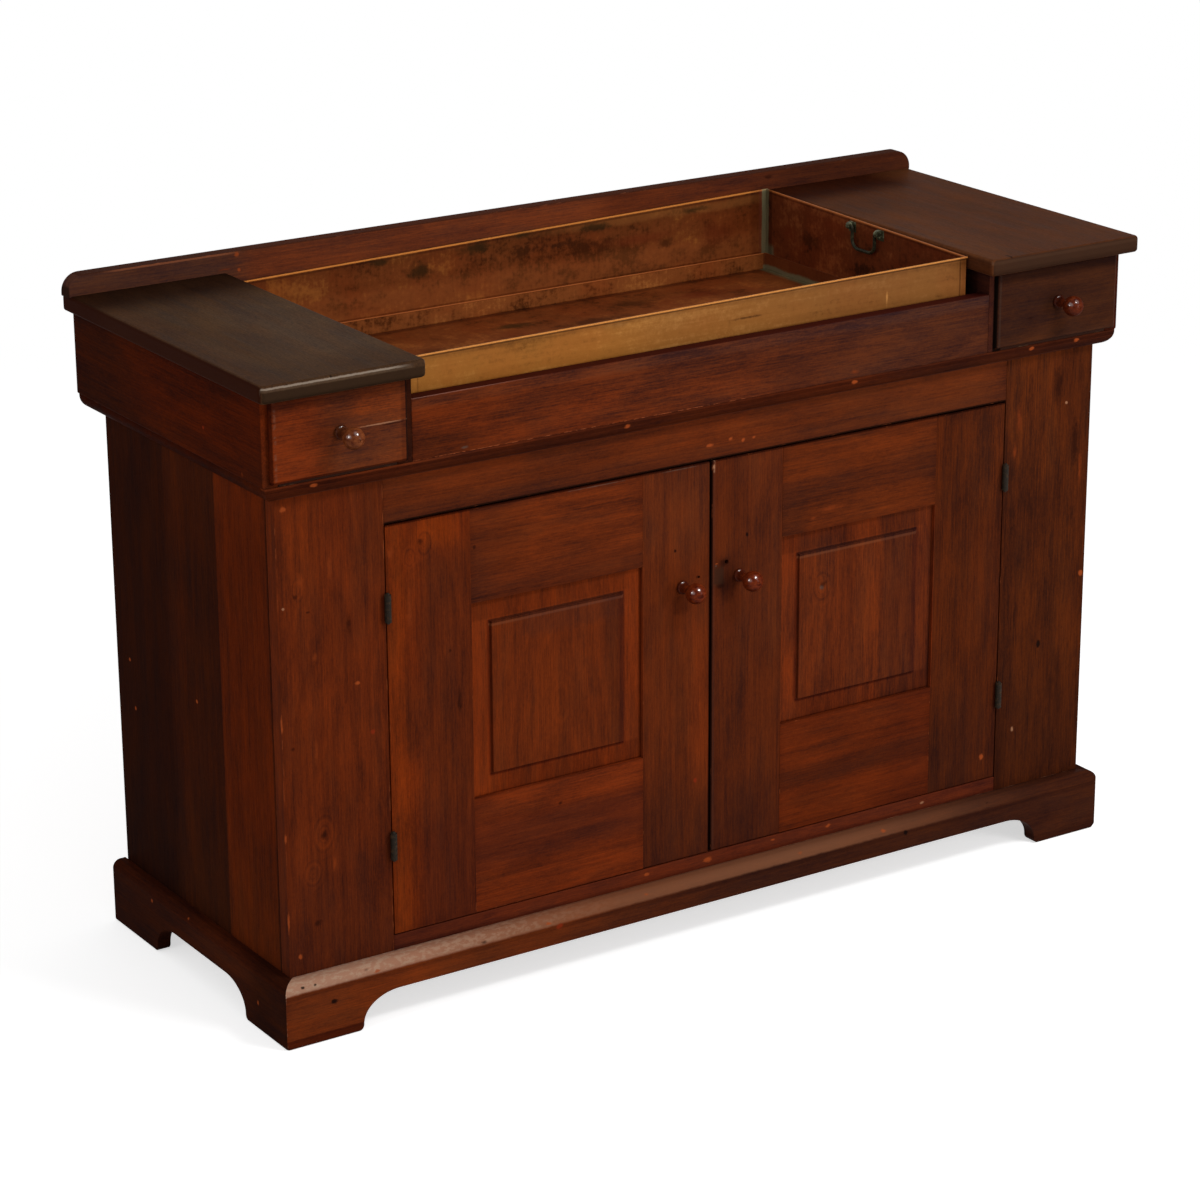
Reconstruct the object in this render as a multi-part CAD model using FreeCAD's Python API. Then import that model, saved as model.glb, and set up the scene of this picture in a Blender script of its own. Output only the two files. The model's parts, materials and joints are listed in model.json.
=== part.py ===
import FreeCAD, Part
import math
import os

# Dry sink cupboard: a lower case with two panelled doors, an overhanging sink box
# with a loose copper tray between two small drawers, and a low gallery at the back.
# Frame: +X to the right, +Y to the back, +Z up, origin on the floor at the middle of
# the space that it fills, knobs included. All sizes are in millimetres.

# ---------- overall sizes ----------
overall_width = 1403.0
body_depth = 554.0
overall_height = 932.0

# ---------- levels, from the top down ----------
gallery_height = 28.0
top_thickness = 23.5
box_height = 116.0
moulding_height = 22.0
base_height = 91.5

# ---------- overhangs ----------
gallery_overhang = 2.5
top_end_overhang = 13.0
top_front_overhang = 28.0
box_end_overhang = 25.0
box_front_overhang = 20.0
box_back_overhang = 31.0
base_back_overhang = 7.0

# ---------- board thicknesses ----------
side_thickness = 22.0
front_thickness = 22.0
back_thickness = 15.0
floor_thickness = 20.0
shelf_thickness = 18.0
gallery_thickness = 22.0
box_side_thickness = 22.0
box_back_thickness = 22.0
box_floor_thickness = 20.0
divider_thickness = 22.0
well_front_thickness = 22.0
base_front_thickness = 23.0
base_side_thickness = 20.0

# ---------- lower case ----------
stile_width = 155.5
top_rail_height = 82.5
sill_height = 112.5
case_bottom = 54.5
tenon_length = 25.0
tenon_thickness = 8.0
tenon_shoulder = 10.0
tenon_clearance = 0.1
back_board_count = 5
back_board_gap = 1.0
shelf_height = 410.5
shelf_front_setback = 58.0
shelf_gap = 0.5
cleat_width = 22.0
cleat_height = 32.0
stop_thickness = 12.0
stop_height = 34.0
stop_overlap = 10.0

# ---------- bracket base ----------
foot_length = 115.0
back_foot_length = 132.0
arch_height = 48.5
arch_corner = 55.0
foot_round = 10.0
base_edge_radius = 12.0
base_foot_radius = 4.0
foot_corner_wear = 7.0
foot_block_size = 45.0

# ---------- sink box ----------
left_bay_width = 214.0
right_bay_width = 233.0
well_front_height = 83.0
well_front_round = 3.0
moulding_radius = 19.5
moulding_end_inset = 3.0
left_top_overhang = 8.0
right_top_overhang = 18.0
top_corner_radius = 8.0
top_edge_radius = 5.0
gallery_rabbet = 2.0
gallery_corner_radius = 25.0
gallery_edge_round = 2.0

# ---------- doors ----------
door_clearance = 0.3
hinge_side_gap = 2.0
meeting_gap = 3.2
door_top_gap = 2.5
door_bottom_gap = 2.0
left_outer_stile = 125.8
left_inner_stile = 108.7
right_outer_stile = 120.8
right_inner_stile = 117.5
door_top_rail = 128.5
door_bottom_rail = 162.5
groove_depth = 8.0
groove_setback = 6.0
tongue_clearance = 0.2
expansion_gap = 1.0
panel_back_setback = 9.5
panel_margin = 31.0
field_step = 3.2
field_setback = 1.8
latch_hole_radius = 3.0
latch_hole_depth = 9.0
latch_hole_inset = 25.0
latch_hole_rise = 22.0
catch_hole_radius = 1.8
catch_hole_depth = 7.0
catch_hole_inset = 17.5
catch_hole_rise = 9.0

# ---------- knobs ----------
knob_radius = 14.2
knob_reach = 33.0
knob_neck_radius = 6.0
knob_waist_radius = 5.4
knob_rose_radius = 9.5
knob_rose_foot_radius = 8.5
knob_rose_lip_radius = 7.5
knob_rose_thickness = 5.0
knob_tenon_radius = 5.0
knob_tenon_length = 14.0
knob_eye_radius = 2.6
knob_eye_depth = 0.8
knob_clearance = 0.1
door_knob_inset = 45.0
door_knob_drop = 169.0

# ---------- butt hinges ----------
hinge_inset_top = 109.0
hinge_inset_bottom = 127.0
barrel_radius = 4.4
barrel_forward = 4.8
pin_radius = 1.6
pin_clearance = 0.05
knuckle_length = 7.2
knuckle_gap = 0.3
knuckle_count = 5
leaf_thickness = 1.5
leaf_width = 17.0
leaf_gap = 0.6
leaf_start = 0.2
pin_head_radius = 3.2
pin_head_height = 2.4
pin_head_gap = 0.1
leaf_pocket_clearance = 0.1
screw_radius = 1.5
screw_head_radius = 3.0
screw_head_height = 1.3
screw_length = 13.0
screw_tip = 4.0
screw_setback = 9.5
screw_spacing = 21.0
screw_slot_width = 0.6
screw_slot_depth = 0.6
screw_clearance = 0.1

# ---------- drawers ----------
drawer_front_thickness = 20.0
lip_thickness = 8.0
lip_overlap = 12.5
lip_drop = 15.0
lip_round = 5.0
drawer_top_gap = 3.0
drawer_side_gap = 1.0
drawer_floor_gap = 0.3
lip_gap = 0.3
drawer_length = 462.0
drawer_side_thickness = 12.0
drawer_back_thickness = 12.0
drawer_bottom_thickness = 8.0
drawer_bottom_rise = 8.0
drawer_side_drop = 4.0
drawer_bottom_setback = 1.0
drawer_groove_depth = 5.0
drawer_groove_clearance = 0.1

# ---------- copper tray ----------
sheet = 1.5
tray_left_gap = 6.0
tray_right_gap = 5.0
tray_front_gap = 3.0
tray_back_gap = 5.5
tray_floor_gap = 0.3
rim_front_left = 109.5
rim_front_right = 115.5
rim_back_left = 105.5
rim_back_right = 122.5
hem_height = 5.0
hem_thickness = 0.75
hem_radius = 1.6
curb_height = 26.0
lap_width = 9.0
lap_thickness = 0.6

# ---------- tray handles ----------
bail_spacing = 66.0
bail_drop = 31.0
bail_rod_radius = 2.5
bail_bend_gap = 0.4
bail_stub = 5.0
bail_top_bend = 3.2
bail_bottom_bend = 14.0
bail_offset = -12.0
bail_below_rim = 9.0
bail_stand_off = 6.0
bail_clearance = 0.08
eye_width = 6.0
eye_wall = 2.6
eye_pad_width = 15.0
eye_pad_height = 15.0
eye_pad_thickness = 1.2

# ---------- how far a cutting shape runs past what it cuts ----------
cut_margin = 1.0

# ---------- worked-out planes ----------
knob_front = knob_reach + math.sqrt(knob_radius ** 2 - knob_eye_radius ** 2)
knob_proud = lip_gap + lip_thickness + knob_front - top_front_overhang
half_width = overall_width / 2
back_limit = (body_depth + knob_proud) / 2
front_limit = back_limit - body_depth
top_z = overall_height - gallery_height
top_under = top_z - top_thickness
box_bottom = top_under - box_height
moulding_bottom = box_bottom - moulding_height
top_half = half_width - gallery_overhang
box_half = top_half - top_end_overhang
box_front = front_limit + top_front_overhang
case_half = box_half - box_end_overhang
case_front = box_front + box_front_overhang
case_back = back_limit - box_back_overhang
front_inner = case_front + front_thickness
side_inner = case_half - side_thickness
back_inner = case_back - back_thickness
opening_half = case_half - stile_width
opening_top = box_bottom - top_rail_height
floor_top = sill_height
gallery_front = back_limit - gallery_thickness
box_back_front = back_limit - box_back_thickness
box_inner = box_half - box_side_thickness
box_floor_top = box_bottom + box_floor_thickness
left_divider_in = -box_half + left_bay_width
left_divider_out = left_divider_in - divider_thickness
right_divider_in = box_half - right_bay_width
right_divider_out = right_divider_in + divider_thickness
well_front_back = box_front + well_front_thickness
left_top_inner = left_divider_in + left_top_overhang
right_top_inner = right_divider_in - right_top_overhang
door_back = front_inner - door_clearance
door_bottom = sill_height + door_bottom_gap
door_top = opening_top - door_top_gap
tray_left = left_top_inner + tray_left_gap
tray_right = right_top_inner - tray_right_gap
tray_front = well_front_back + tray_front_gap
tray_back = gallery_front - tray_back_gap
tray_low = box_floor_top + tray_floor_gap
hem_proud = 2 * hem_radius - sheet
bail_leg = bail_spacing / 2 - eye_width / 2 - bail_bend_gap - bail_top_bend

parts = {}


def block(x0, x1, y0, y1, z0, z1):
    """A plain board between two corners."""
    return Part.makeBox(x1 - x0, y1 - y0, z1 - z0, FreeCAD.Vector(x0, y0, z0))


def rod(radius, start, direction, length):
    """A round bar from a start point along a direction."""
    return Part.makeCylinder(radius, length, FreeCAD.Vector(*start), FreeCAD.Vector(*direction))


def prism(points, push):
    """A closed outline of points pushed along a vector."""
    corners = [FreeCAD.Vector(*point) for point in points]
    outline = Part.makePolygon(corners + [corners[0]])
    return Part.Face(outline).extrude(FreeCAD.Vector(*push))


def round_edges(shape, radius, wanted):
    """Rounds the straight edges whose middle point passes the test."""
    chosen = [edge for edge in shape.Edges if wanted(edge.CenterOfMass, edge)]
    return shape.makeFillet(radius, chosen)


def near(first, second):
    return abs(first - second) < 0.01


def is_level(edge):
    return near(edge.BoundBox.ZLength, 0)


def mitred_ring(half, front, inner_half, inner_front, back, low, high, dress):
    """Front, left and right members round a case, mitred at 45 degrees at the two corners.

    The dress function shapes the whole ring before it is cut, so the members match.
    """
    ring = block(-half, half, front, back, low, high)
    ring = ring.cut(block(-inner_half, inner_half, inner_front, back + cut_margin, low - cut_margin,
                          high + cut_margin))
    ring = dress(ring)
    wedge_low = low - cut_margin
    wedge_points = [(-half, front, wedge_low), (half, front, wedge_low), (0, front + half, wedge_low)]
    wedge = prism(wedge_points, (0, 0, high - low + 2 * cut_margin))
    front_member = ring.common(wedge)
    sides = ring.cut(wedge)
    solids = sorted(sides.Solids, key=lambda solid: solid.CenterOfMass.x)
    return front_member.Solids[0], solids[0], solids[-1]


# ---------- lower case ----------
def build_case():
    back = case_back
    for name, sign in (("left_side", -1), ("right_side", 1)):
        low_x, high_x = sorted((sign * side_inner, sign * case_half))
        parts[name] = block(low_x, high_x, front_inner, back, case_bottom, box_bottom)

    middle = case_front + front_thickness / 2
    tenon_front = middle - tenon_thickness / 2
    tenon_back = middle + tenon_thickness / 2
    rails = {
        "top_rail": (opening_top, box_bottom),
        "bottom_rail": (case_bottom, sill_height),
    }
    mortises = []
    for name, (low, high) in rails.items():
        rail = block(-opening_half, opening_half, case_front, front_inner, low, high)
        reach = opening_half + tenon_length
        tenon = block(-reach, reach, tenon_front, tenon_back, low + tenon_shoulder, high - tenon_shoulder)
        parts[name] = rail.fuse(tenon).removeSplitter()
        wide = reach + tenon_clearance
        mortise_low = low + tenon_shoulder - tenon_clearance
        mortise_high = high - tenon_shoulder + tenon_clearance
        mortises.append(block(-wide, wide, tenon_front - tenon_clearance, tenon_back + tenon_clearance,
                              mortise_low, mortise_high))

    for name, sign in (("left_stile", -1), ("right_stile", 1)):
        low_x, high_x = sorted((sign * opening_half, sign * case_half))
        stile = block(low_x, high_x, case_front, front_inner, case_bottom, box_bottom)
        for mortise in mortises:
            stile = stile.cut(mortise)
        stile = stile.cut(hinge_pockets(sign, False))
        parts[name] = stile.cut(hinge_screws(sign, False, screw_clearance))

    parts["case_floor"] = block(-side_inner, side_inner, front_inner, back_inner,
                                floor_top - floor_thickness, floor_top)
    shelf_low = shelf_height - shelf_thickness
    shelf_half = side_inner - shelf_gap
    parts["shelf"] = block(-shelf_half, shelf_half, front_inner + shelf_front_setback, back_inner,
                           shelf_low, shelf_height)
    cleats = []
    for sign in (-1, 1):
        low_x, high_x = sorted((sign * side_inner, sign * (side_inner - cleat_width)))
        cleats.append(block(low_x, high_x, front_inner + shelf_front_setback, back_inner,
                            shelf_low - cleat_height, shelf_low))
    parts["shelf_cleats"] = Part.makeCompound(cleats)

    stop_low = door_top - stop_overlap
    parts["door_stop"] = block(-opening_half, opening_half, front_inner, front_inner + stop_thickness,
                               stop_low, stop_low + stop_height)

    pitch = 2 * side_inner / back_board_count
    boards = []
    for index in range(back_board_count):
        low_x = -side_inner + index * pitch + back_board_gap / 2
        high_x = -side_inner + (index + 1) * pitch - back_board_gap / 2
        boards.append(block(low_x, high_x, back_inner, back, case_bottom, box_bottom))
    parts["back_boards"] = Part.makeCompound(boards)


# ---------- bracket base ----------
def arch_face(start, end, origin, along):
    """The cut-out under a base board: a level soffit, a quarter ellipse at each end, and the
    rounded lower corner of each foot."""
    def at(distance, height):
        return FreeCAD.Vector(*origin) + FreeCAD.Vector(*along) * distance + FreeCAD.Vector(0, 0, height)

    low = -cut_margin
    edges = [Part.makeLine(at(start - foot_round, low), at(end + foot_round, low))]
    for foot, centre, way in ((end, end - arch_corner, 1), (start, start + arch_corner, -1)):
        ellipse = Part.Ellipse(at(foot, foot_round), at(centre, arch_height), at(centre, foot_round))
        arc = ellipse.toShape()
        edges.append(quarter(arc, at(foot, foot_round), at(centre, arch_height)))
        toe = foot + way * foot_round
        bend = foot_round * (1 - math.sqrt(0.5))
        edges.append(Part.Arc(at(foot, foot_round), at(foot + way * bend, bend), at(toe, 0)).toShape())
        edges.append(Part.makeLine(at(toe, 0), at(toe, low)))
    edges.append(Part.makeLine(at(end - arch_corner, arch_height), at(start + arch_corner, arch_height)))
    return Part.Face(Part.Wire(Part.__sortEdges__(edges)))


def quarter(ellipse_edge, first, second):
    """The quarter of an ellipse between two of its axis points."""
    curve = ellipse_edge.Curve
    a = curve.parameter(first)
    b = curve.parameter(second)
    low, high = sorted((a, b))
    if high - low > math.pi:
        low, high = high, low + 2 * math.pi
    return curve.toShape(low, high)


def foot_tip(half, front, sign):
    """A tool that takes the worn-off tip from the bottom corner of a front foot."""
    outlines = []
    for z in (-cut_margin, foot_corner_wear):
        leg = foot_corner_wear - z + 2 * cut_margin
        corner_x = sign * (half + cut_margin)
        corner_y = front - cut_margin
        points = [FreeCAD.Vector(corner_x, corner_y, z), FreeCAD.Vector(corner_x - sign * leg, corner_y, z),
                  FreeCAD.Vector(corner_x, corner_y + leg, z)]
        outlines.append(Part.makePolygon(points + [points[0]]))
    return Part.makeLoft(outlines, True, True)


def build_base():
    half = case_half + base_side_thickness
    front = case_front - base_front_thickness
    back = case_back + base_back_overhang

    def dress(ring):
        for level, radius in ((base_height, base_edge_radius), (0, base_foot_radius)):
            ring = round_edges(ring, radius, lambda middle, edge: near(middle.z, level)
                               and (near(middle.y, front) or near(abs(middle.x), half)))
        return ring.cut([foot_tip(half, front, -1), foot_tip(half, front, 1)])

    members = mitred_ring(half, front, case_half, case_front, back, 0, base_height, dress)
    front_arch = arch_face(-half + foot_length, half - foot_length, (0, front - cut_margin, 0), (1, 0, 0))
    front_cut = front_arch.extrude(FreeCAD.Vector(0, base_front_thickness + 2 * cut_margin, 0))
    parts["base_front"] = members[0].cut(front_cut)
    ends = []
    for member, sign in ((members[1], -1), (members[2], 1)):
        outer = sign * (half + cut_margin)
        arch = arch_face(front + foot_length, back - back_foot_length, (outer, 0, 0), (0, 1, 0))
        cut = arch.extrude(FreeCAD.Vector(-sign * (base_side_thickness + 2 * cut_margin), 0, 0))
        ends.append(member.cut(cut))
    parts["base_ends"] = Part.makeCompound(ends)

    blocks = []
    for sign in (-1, 1):
        low_x, high_x = sorted((sign * case_half, sign * (case_half - foot_block_size)))
        for low_y in (case_front, case_back - foot_block_size):
            blocks.append(block(low_x, high_x, low_y, low_y + foot_block_size, 0, case_bottom))
    parts["foot_blocks"] = Part.makeCompound(blocks)


# ---------- sink box ----------
def build_box():
    moulding_half = box_half - moulding_end_inset

    def dress(ring):
        return round_edges(ring, moulding_radius, lambda middle, edge: near(middle.z, moulding_bottom)
                           and (near(middle.y, box_front) or near(abs(middle.x), moulding_half)))

    moulding = mitred_ring(moulding_half, box_front, case_half, case_front, back_limit,
                           moulding_bottom, box_bottom, dress)
    parts["box_moulding"] = Part.makeCompound(list(moulding))

    for name, sign in (("box_left_side", -1), ("box_right_side", 1)):
        low_x, high_x = sorted((sign * box_inner, sign * box_half))
        side = block(low_x, high_x, box_front, back_limit, box_bottom, top_under)
        parts[name] = round_edges(side, moulding_end_inset, lambda middle, edge:
                                  near(middle.z, box_bottom) and near(abs(middle.x), box_half))
    parts["box_back"] = block(-box_inner, box_inner, box_back_front, back_limit, box_bottom, top_under)
    parts["left_divider"] = block(left_divider_out, left_divider_in, box_front, box_back_front,
                                  box_bottom, top_under)
    parts["right_divider"] = block(right_divider_in, right_divider_out, box_front, box_back_front,
                                   box_bottom, top_under)
    board = block(left_divider_in, right_divider_in, box_front, well_front_back,
                  box_bottom, box_bottom + well_front_height)
    parts["well_front"] = round_edges(board, well_front_round, lambda middle, edge:
                                      near(middle.z, box_bottom + well_front_height)
                                      and near(edge.BoundBox.YLength, 0))
    floors = []
    for low_x, high_x, low_y in ((-box_inner, left_divider_out, box_front),
                                 (left_divider_in, right_divider_in, well_front_back),
                                 (right_divider_out, box_inner, box_front)):
        floors.append(block(low_x, high_x, low_y, box_back_front, box_bottom, box_floor_top))
    parts["box_floors"] = Part.makeCompound(floors)


def top_board(low_x, high_x):
    """A top board, rounded on its front and both ends, with a housing for the gallery."""
    board = block(low_x, high_x, front_limit, back_limit, top_under, top_z)
    board = round_edges(board, top_corner_radius, lambda middle, edge:
                        near(middle.y, front_limit) and not is_level(edge))
    board = round_edges(board, top_edge_radius, lambda middle, edge:
                        is_level(edge) and not near(middle.y, back_limit))
    housing = block(low_x - cut_margin, high_x + cut_margin, gallery_front, back_limit + cut_margin,
                    top_z - gallery_rabbet, top_z + cut_margin)
    return board.cut(housing)


def build_top():
    parts["left_top"] = top_board(-top_half, left_top_inner)
    parts["right_top"] = top_board(right_top_inner, top_half)
    upper = block(-half_width, half_width, gallery_front, back_limit, top_z - gallery_rabbet, overall_height)
    upper = round_edges(upper, gallery_corner_radius, lambda middle, edge:
                        near(middle.z, overall_height) and near(abs(middle.x), half_width))
    upper = round_edges(upper, gallery_edge_round, lambda middle, edge:
                        near(middle.y, gallery_front) and near(middle.z, overall_height))
    tongue = block(left_top_inner, right_top_inner, gallery_front, back_limit, top_under, top_z)
    parts["gallery"] = upper.fuse(tongue).removeSplitter()


# ---------- hinges ----------
def hinge_levels():
    return (door_bottom + hinge_inset_bottom, door_top - hinge_inset_top)


def hinge_height():
    return knuckle_count * knuckle_length + (knuckle_count - 1) * knuckle_gap


def hinge_axis(sign):
    """Where the pin stands: in the middle of the gap, just proud of the door's face."""
    return sign * (opening_half - hinge_side_gap / 2), case_front - barrel_forward


def leaf_span(sign, on_door):
    """The two X limits of a leaf plate beside the pin's plane."""
    axis_x = hinge_axis(sign)[0]
    side = -sign if on_door else sign
    near_x = axis_x + side * leaf_gap / 2
    return sorted((near_x, near_x + side * leaf_thickness))


def hinge_pockets(sign, on_door):
    """The shallow recesses that the leaves lie in."""
    low_x, high_x = leaf_span(sign, on_door)
    clear = leaf_pocket_clearance
    half = hinge_height() / 2 + clear
    pockets = []
    for level in hinge_levels():
        pockets.append(block(low_x - clear, high_x + clear, case_front - cut_margin,
                             case_front + leaf_width + clear, level - half, level + half))
    return Part.makeCompound(pockets)


def hinge_screws(sign, on_door, clear):
    """Countersunk screws from the gap into the wood; with a clearance, the holes that they sit in."""
    low_x, high_x = leaf_span(sign, on_door)
    way = -sign if on_door else sign
    head_x = low_x if way > 0 else high_x
    y = case_front + screw_setback
    radius = screw_radius + clear
    shank = screw_length - screw_tip + clear
    along = FreeCAD.Vector(way, 0, 0)
    screws = []
    for level in hinge_levels():
        for z in (level - screw_spacing / 2, level + screw_spacing / 2):
            head = Part.makeCone(screw_head_radius + clear, radius, screw_head_height,
                                 FreeCAD.Vector(head_x, y, z), along)
            tip = Part.makeCone(radius, 0, screw_tip, FreeCAD.Vector(head_x + way * shank, y, z), along)
            screw = head.fuse([rod(radius, (head_x, y, z), (way, 0, 0), shank), tip]).removeSplitter()
            if clear == 0:
                slot_low, slot_high = sorted((head_x, head_x + way * screw_slot_depth))
                half_slot = screw_slot_width / 2
                screw = screw.cut(block(slot_low, slot_high, y - half_slot, y + half_slot,
                                        z - screw_head_radius, z + screw_head_radius))
            screws.append(screw)
    return Part.makeCompound(screws)


def hinge_leaf(sign, level, on_door):
    axis_x, axis_y = hinge_axis(sign)
    low_x, high_x = leaf_span(sign, on_door)
    half = hinge_height() / 2
    plate_start = axis_y + barrel_radius + leaf_start
    leaf = block(low_x, high_x, plate_start, case_front + leaf_width, level - half, level + half)
    pitch = knuckle_length + knuckle_gap
    for index in range(knuckle_count):
        if (index % 2 == 1) != on_door:
            continue
        low = level - half + index * pitch
        knuckle = rod(barrel_radius, (axis_x, axis_y, low), (0, 0, 1), knuckle_length)
        strap = block(low_x, high_x, axis_y, plate_start, low, low + knuckle_length)
        leaf = leaf.fuse([knuckle, strap])
    bore = rod(pin_radius + pin_clearance, (axis_x, axis_y, level - half - cut_margin), (0, 0, 1),
               2 * (half + cut_margin))
    return leaf.cut([bore, hinge_screws(sign, on_door, screw_clearance)]).removeSplitter()


def hinge_pin(sign, level):
    axis_x, axis_y = hinge_axis(sign)
    half = hinge_height() / 2 + pin_head_gap
    pin = rod(pin_radius, (axis_x, axis_y, level - half), (0, 0, 1), 2 * half)
    for base, way in ((level + half, 1), (level - half, -1)):
        head = Part.makeCone(pin_head_radius, pin_head_radius / 2, pin_head_height,
                             FreeCAD.Vector(axis_x, axis_y, base), FreeCAD.Vector(0, 0, way))
        pin = pin.fuse(head)
    return pin.removeSplitter()


def build_hinges():
    case_leaves = []
    case_screws = []
    pins = []
    for name, sign in (("left", -1), ("right", 1)):
        door_leaves = []
        for level in hinge_levels():
            case_leaves.append(hinge_leaf(sign, level, False))
            door_leaves.append(hinge_leaf(sign, level, True))
            pins.append(hinge_pin(sign, level))
        parts[name + "_door_hinge_leaves"] = Part.makeCompound(door_leaves)
        parts[name + "_door_hinge_screws"] = hinge_screws(sign, True, 0)
        case_screws += hinge_screws(sign, False, 0).Solids
    parts["hinge_case_leaves"] = Part.makeCompound(case_leaves)
    parts["hinge_case_screws"] = Part.makeCompound(case_screws)
    parts["hinge_pins"] = Part.makeCompound(pins)


# ---------- knobs ----------
def turned_knob(x, y, z):
    """A ball knob turned in one piece with its neck, rose and tenon, facing the front."""
    neck_start = knob_rose_thickness
    neck_end = knob_reach - math.sqrt(knob_radius ** 2 - knob_neck_radius ** 2)
    eye_floor = knob_front - knob_eye_depth

    def at(radius, reach):
        return FreeCAD.Vector(x + radius, y - reach, z)

    rose_bulge = at(knob_rose_radius, knob_rose_thickness / 2)
    edges = [
        Part.makeLine(at(0, -knob_tenon_length), at(knob_tenon_radius, -knob_tenon_length)),
        Part.makeLine(at(knob_tenon_radius, -knob_tenon_length), at(knob_tenon_radius, 0)),
        Part.makeLine(at(knob_tenon_radius, 0), at(knob_rose_foot_radius, 0)),
        Part.Arc(at(knob_rose_foot_radius, 0), rose_bulge, at(knob_rose_lip_radius, neck_start)).toShape(),
        Part.Arc(at(knob_rose_lip_radius, neck_start), at(knob_waist_radius, (neck_start + neck_end) / 2),
                 at(knob_neck_radius, neck_end)).toShape(),
        Part.Arc(at(knob_neck_radius, neck_end), at(knob_radius, knob_reach),
                 at(knob_eye_radius, knob_front)).toShape(),
        Part.makeLine(at(knob_eye_radius, knob_front), at(knob_eye_radius, eye_floor)),
        Part.makeLine(at(knob_eye_radius, eye_floor), at(0, eye_floor)),
        Part.makeLine(at(0, eye_floor), at(0, -knob_tenon_length)),
    ]
    face = Part.Face(Part.Wire(edges))
    return face.revolve(FreeCAD.Vector(x, y, z), FreeCAD.Vector(0, 1, 0), 360)


def knob_hole(x, y, z):
    radius = knob_tenon_radius + knob_clearance
    return rod(radius, (x, y - cut_margin, z), (0, 1, 0), knob_tenon_length + knob_clearance + cut_margin)


# ---------- doors ----------
def raised_panel(low_x, high_x, low_z, high_z):
    """A fielded panel: a tongue all round, a sloping margin and a raised middle field."""
    tongue_back = door_back - panel_back_setback
    tongue_front = case_front + groove_setback + tongue_clearance
    field_front = case_front + field_setback
    slope_front = field_front + field_step
    grow = groove_depth - expansion_gap
    tongue = block(low_x - grow, high_x + grow, tongue_front, tongue_back,
                   low_z - grow, high_z + grow)

    def outline(inset, y):
        corners = [(low_x + inset, y, low_z + inset), (high_x - inset, y, low_z + inset),
                   (high_x - inset, y, high_z - inset), (low_x + inset, y, high_z - inset)]
        points = [FreeCAD.Vector(*corner) for corner in corners]
        return Part.makePolygon(points + [points[0]])

    outlines = [outline(expansion_gap, tongue_front), outline(panel_margin, slope_front)]
    slope = Part.makeLoft(outlines, True, True)
    field = block(low_x + panel_margin, high_x - panel_margin, field_front, slope_front,
                  low_z + panel_margin, high_z - panel_margin)
    return tongue.fuse([slope, field]).removeSplitter()


def build_door(name, sign, stile_widths, screw_hole):
    """A framed door with its outer and inner stile's widths; screw_hole is the radius, depth,
    inset and rise of an old catch's hole."""
    outer_x = sign * (opening_half - hinge_side_gap)
    inner_x = sign * meeting_gap / 2
    outer_joint = outer_x - sign * stile_widths[0]
    inner_joint = inner_x + sign * stile_widths[1]
    rail_low = door_bottom + door_bottom_rail
    rail_high = door_top - door_top_rail
    low_x, high_x = sorted((outer_joint, inner_joint))
    groove_front = case_front + groove_setback
    groove_back = door_back - panel_back_setback + tongue_clearance
    groove = block(low_x - groove_depth, high_x + groove_depth, groove_front, groove_back,
                   rail_low - groove_depth, rail_high + groove_depth)
    slots = []
    for low_z, high_z in ((door_bottom, rail_low), (rail_high, door_top)):
        slots.append(block(low_x - groove_depth, high_x + groove_depth, groove_front, groove_back,
                           low_z, high_z))

    knob_x = inner_x + sign * door_knob_inset
    knob_z = door_top - door_knob_drop
    hole_radius, hole_depth, hole_inset, hole_rise = screw_hole
    hole_x = inner_x + sign * hole_inset
    stiles = {"outer_stile": (outer_x, outer_joint), "inner_stile": (inner_x, inner_joint)}
    for piece, ends in stiles.items():
        low, high = sorted(ends)
        stile = block(low, high, case_front, door_back, door_bottom, door_top).cut(groove)
        for slot in slots:
            stile = stile.cut(slot)
        if piece == "outer_stile":
            stile = stile.cut(hinge_pockets(sign, True))
            stile = stile.cut(hinge_screws(sign, True, screw_clearance))
        else:
            old_hole = rod(hole_radius, (hole_x, case_front - cut_margin, knob_z + hole_rise),
                           (0, 1, 0), hole_depth + cut_margin)
            stile = stile.cut([knob_hole(knob_x, case_front, knob_z), old_hole])
        parts[name + "_" + piece] = stile

    reach = groove_depth - expansion_gap
    for piece, low_z, high_z in (("bottom_rail", door_bottom, rail_low), ("top_rail", rail_high, door_top)):
        rail = block(low_x, high_x, case_front, door_back, low_z, high_z).cut(groove)
        tenon_low = low_z if piece == "bottom_rail" else low_z + groove_depth
        tenon_high = high_z - groove_depth if piece == "bottom_rail" else high_z
        tenon = block(low_x - reach, high_x + reach, groove_front + tongue_clearance,
                      groove_back - tongue_clearance, tenon_low, tenon_high)
        parts[name + "_" + piece] = rail.fuse(tenon).removeSplitter()

    parts[name + "_panel"] = raised_panel(low_x, high_x, rail_low, rail_high)
    parts[name + "_knob"] = turned_knob(knob_x, case_front, knob_z)


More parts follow.
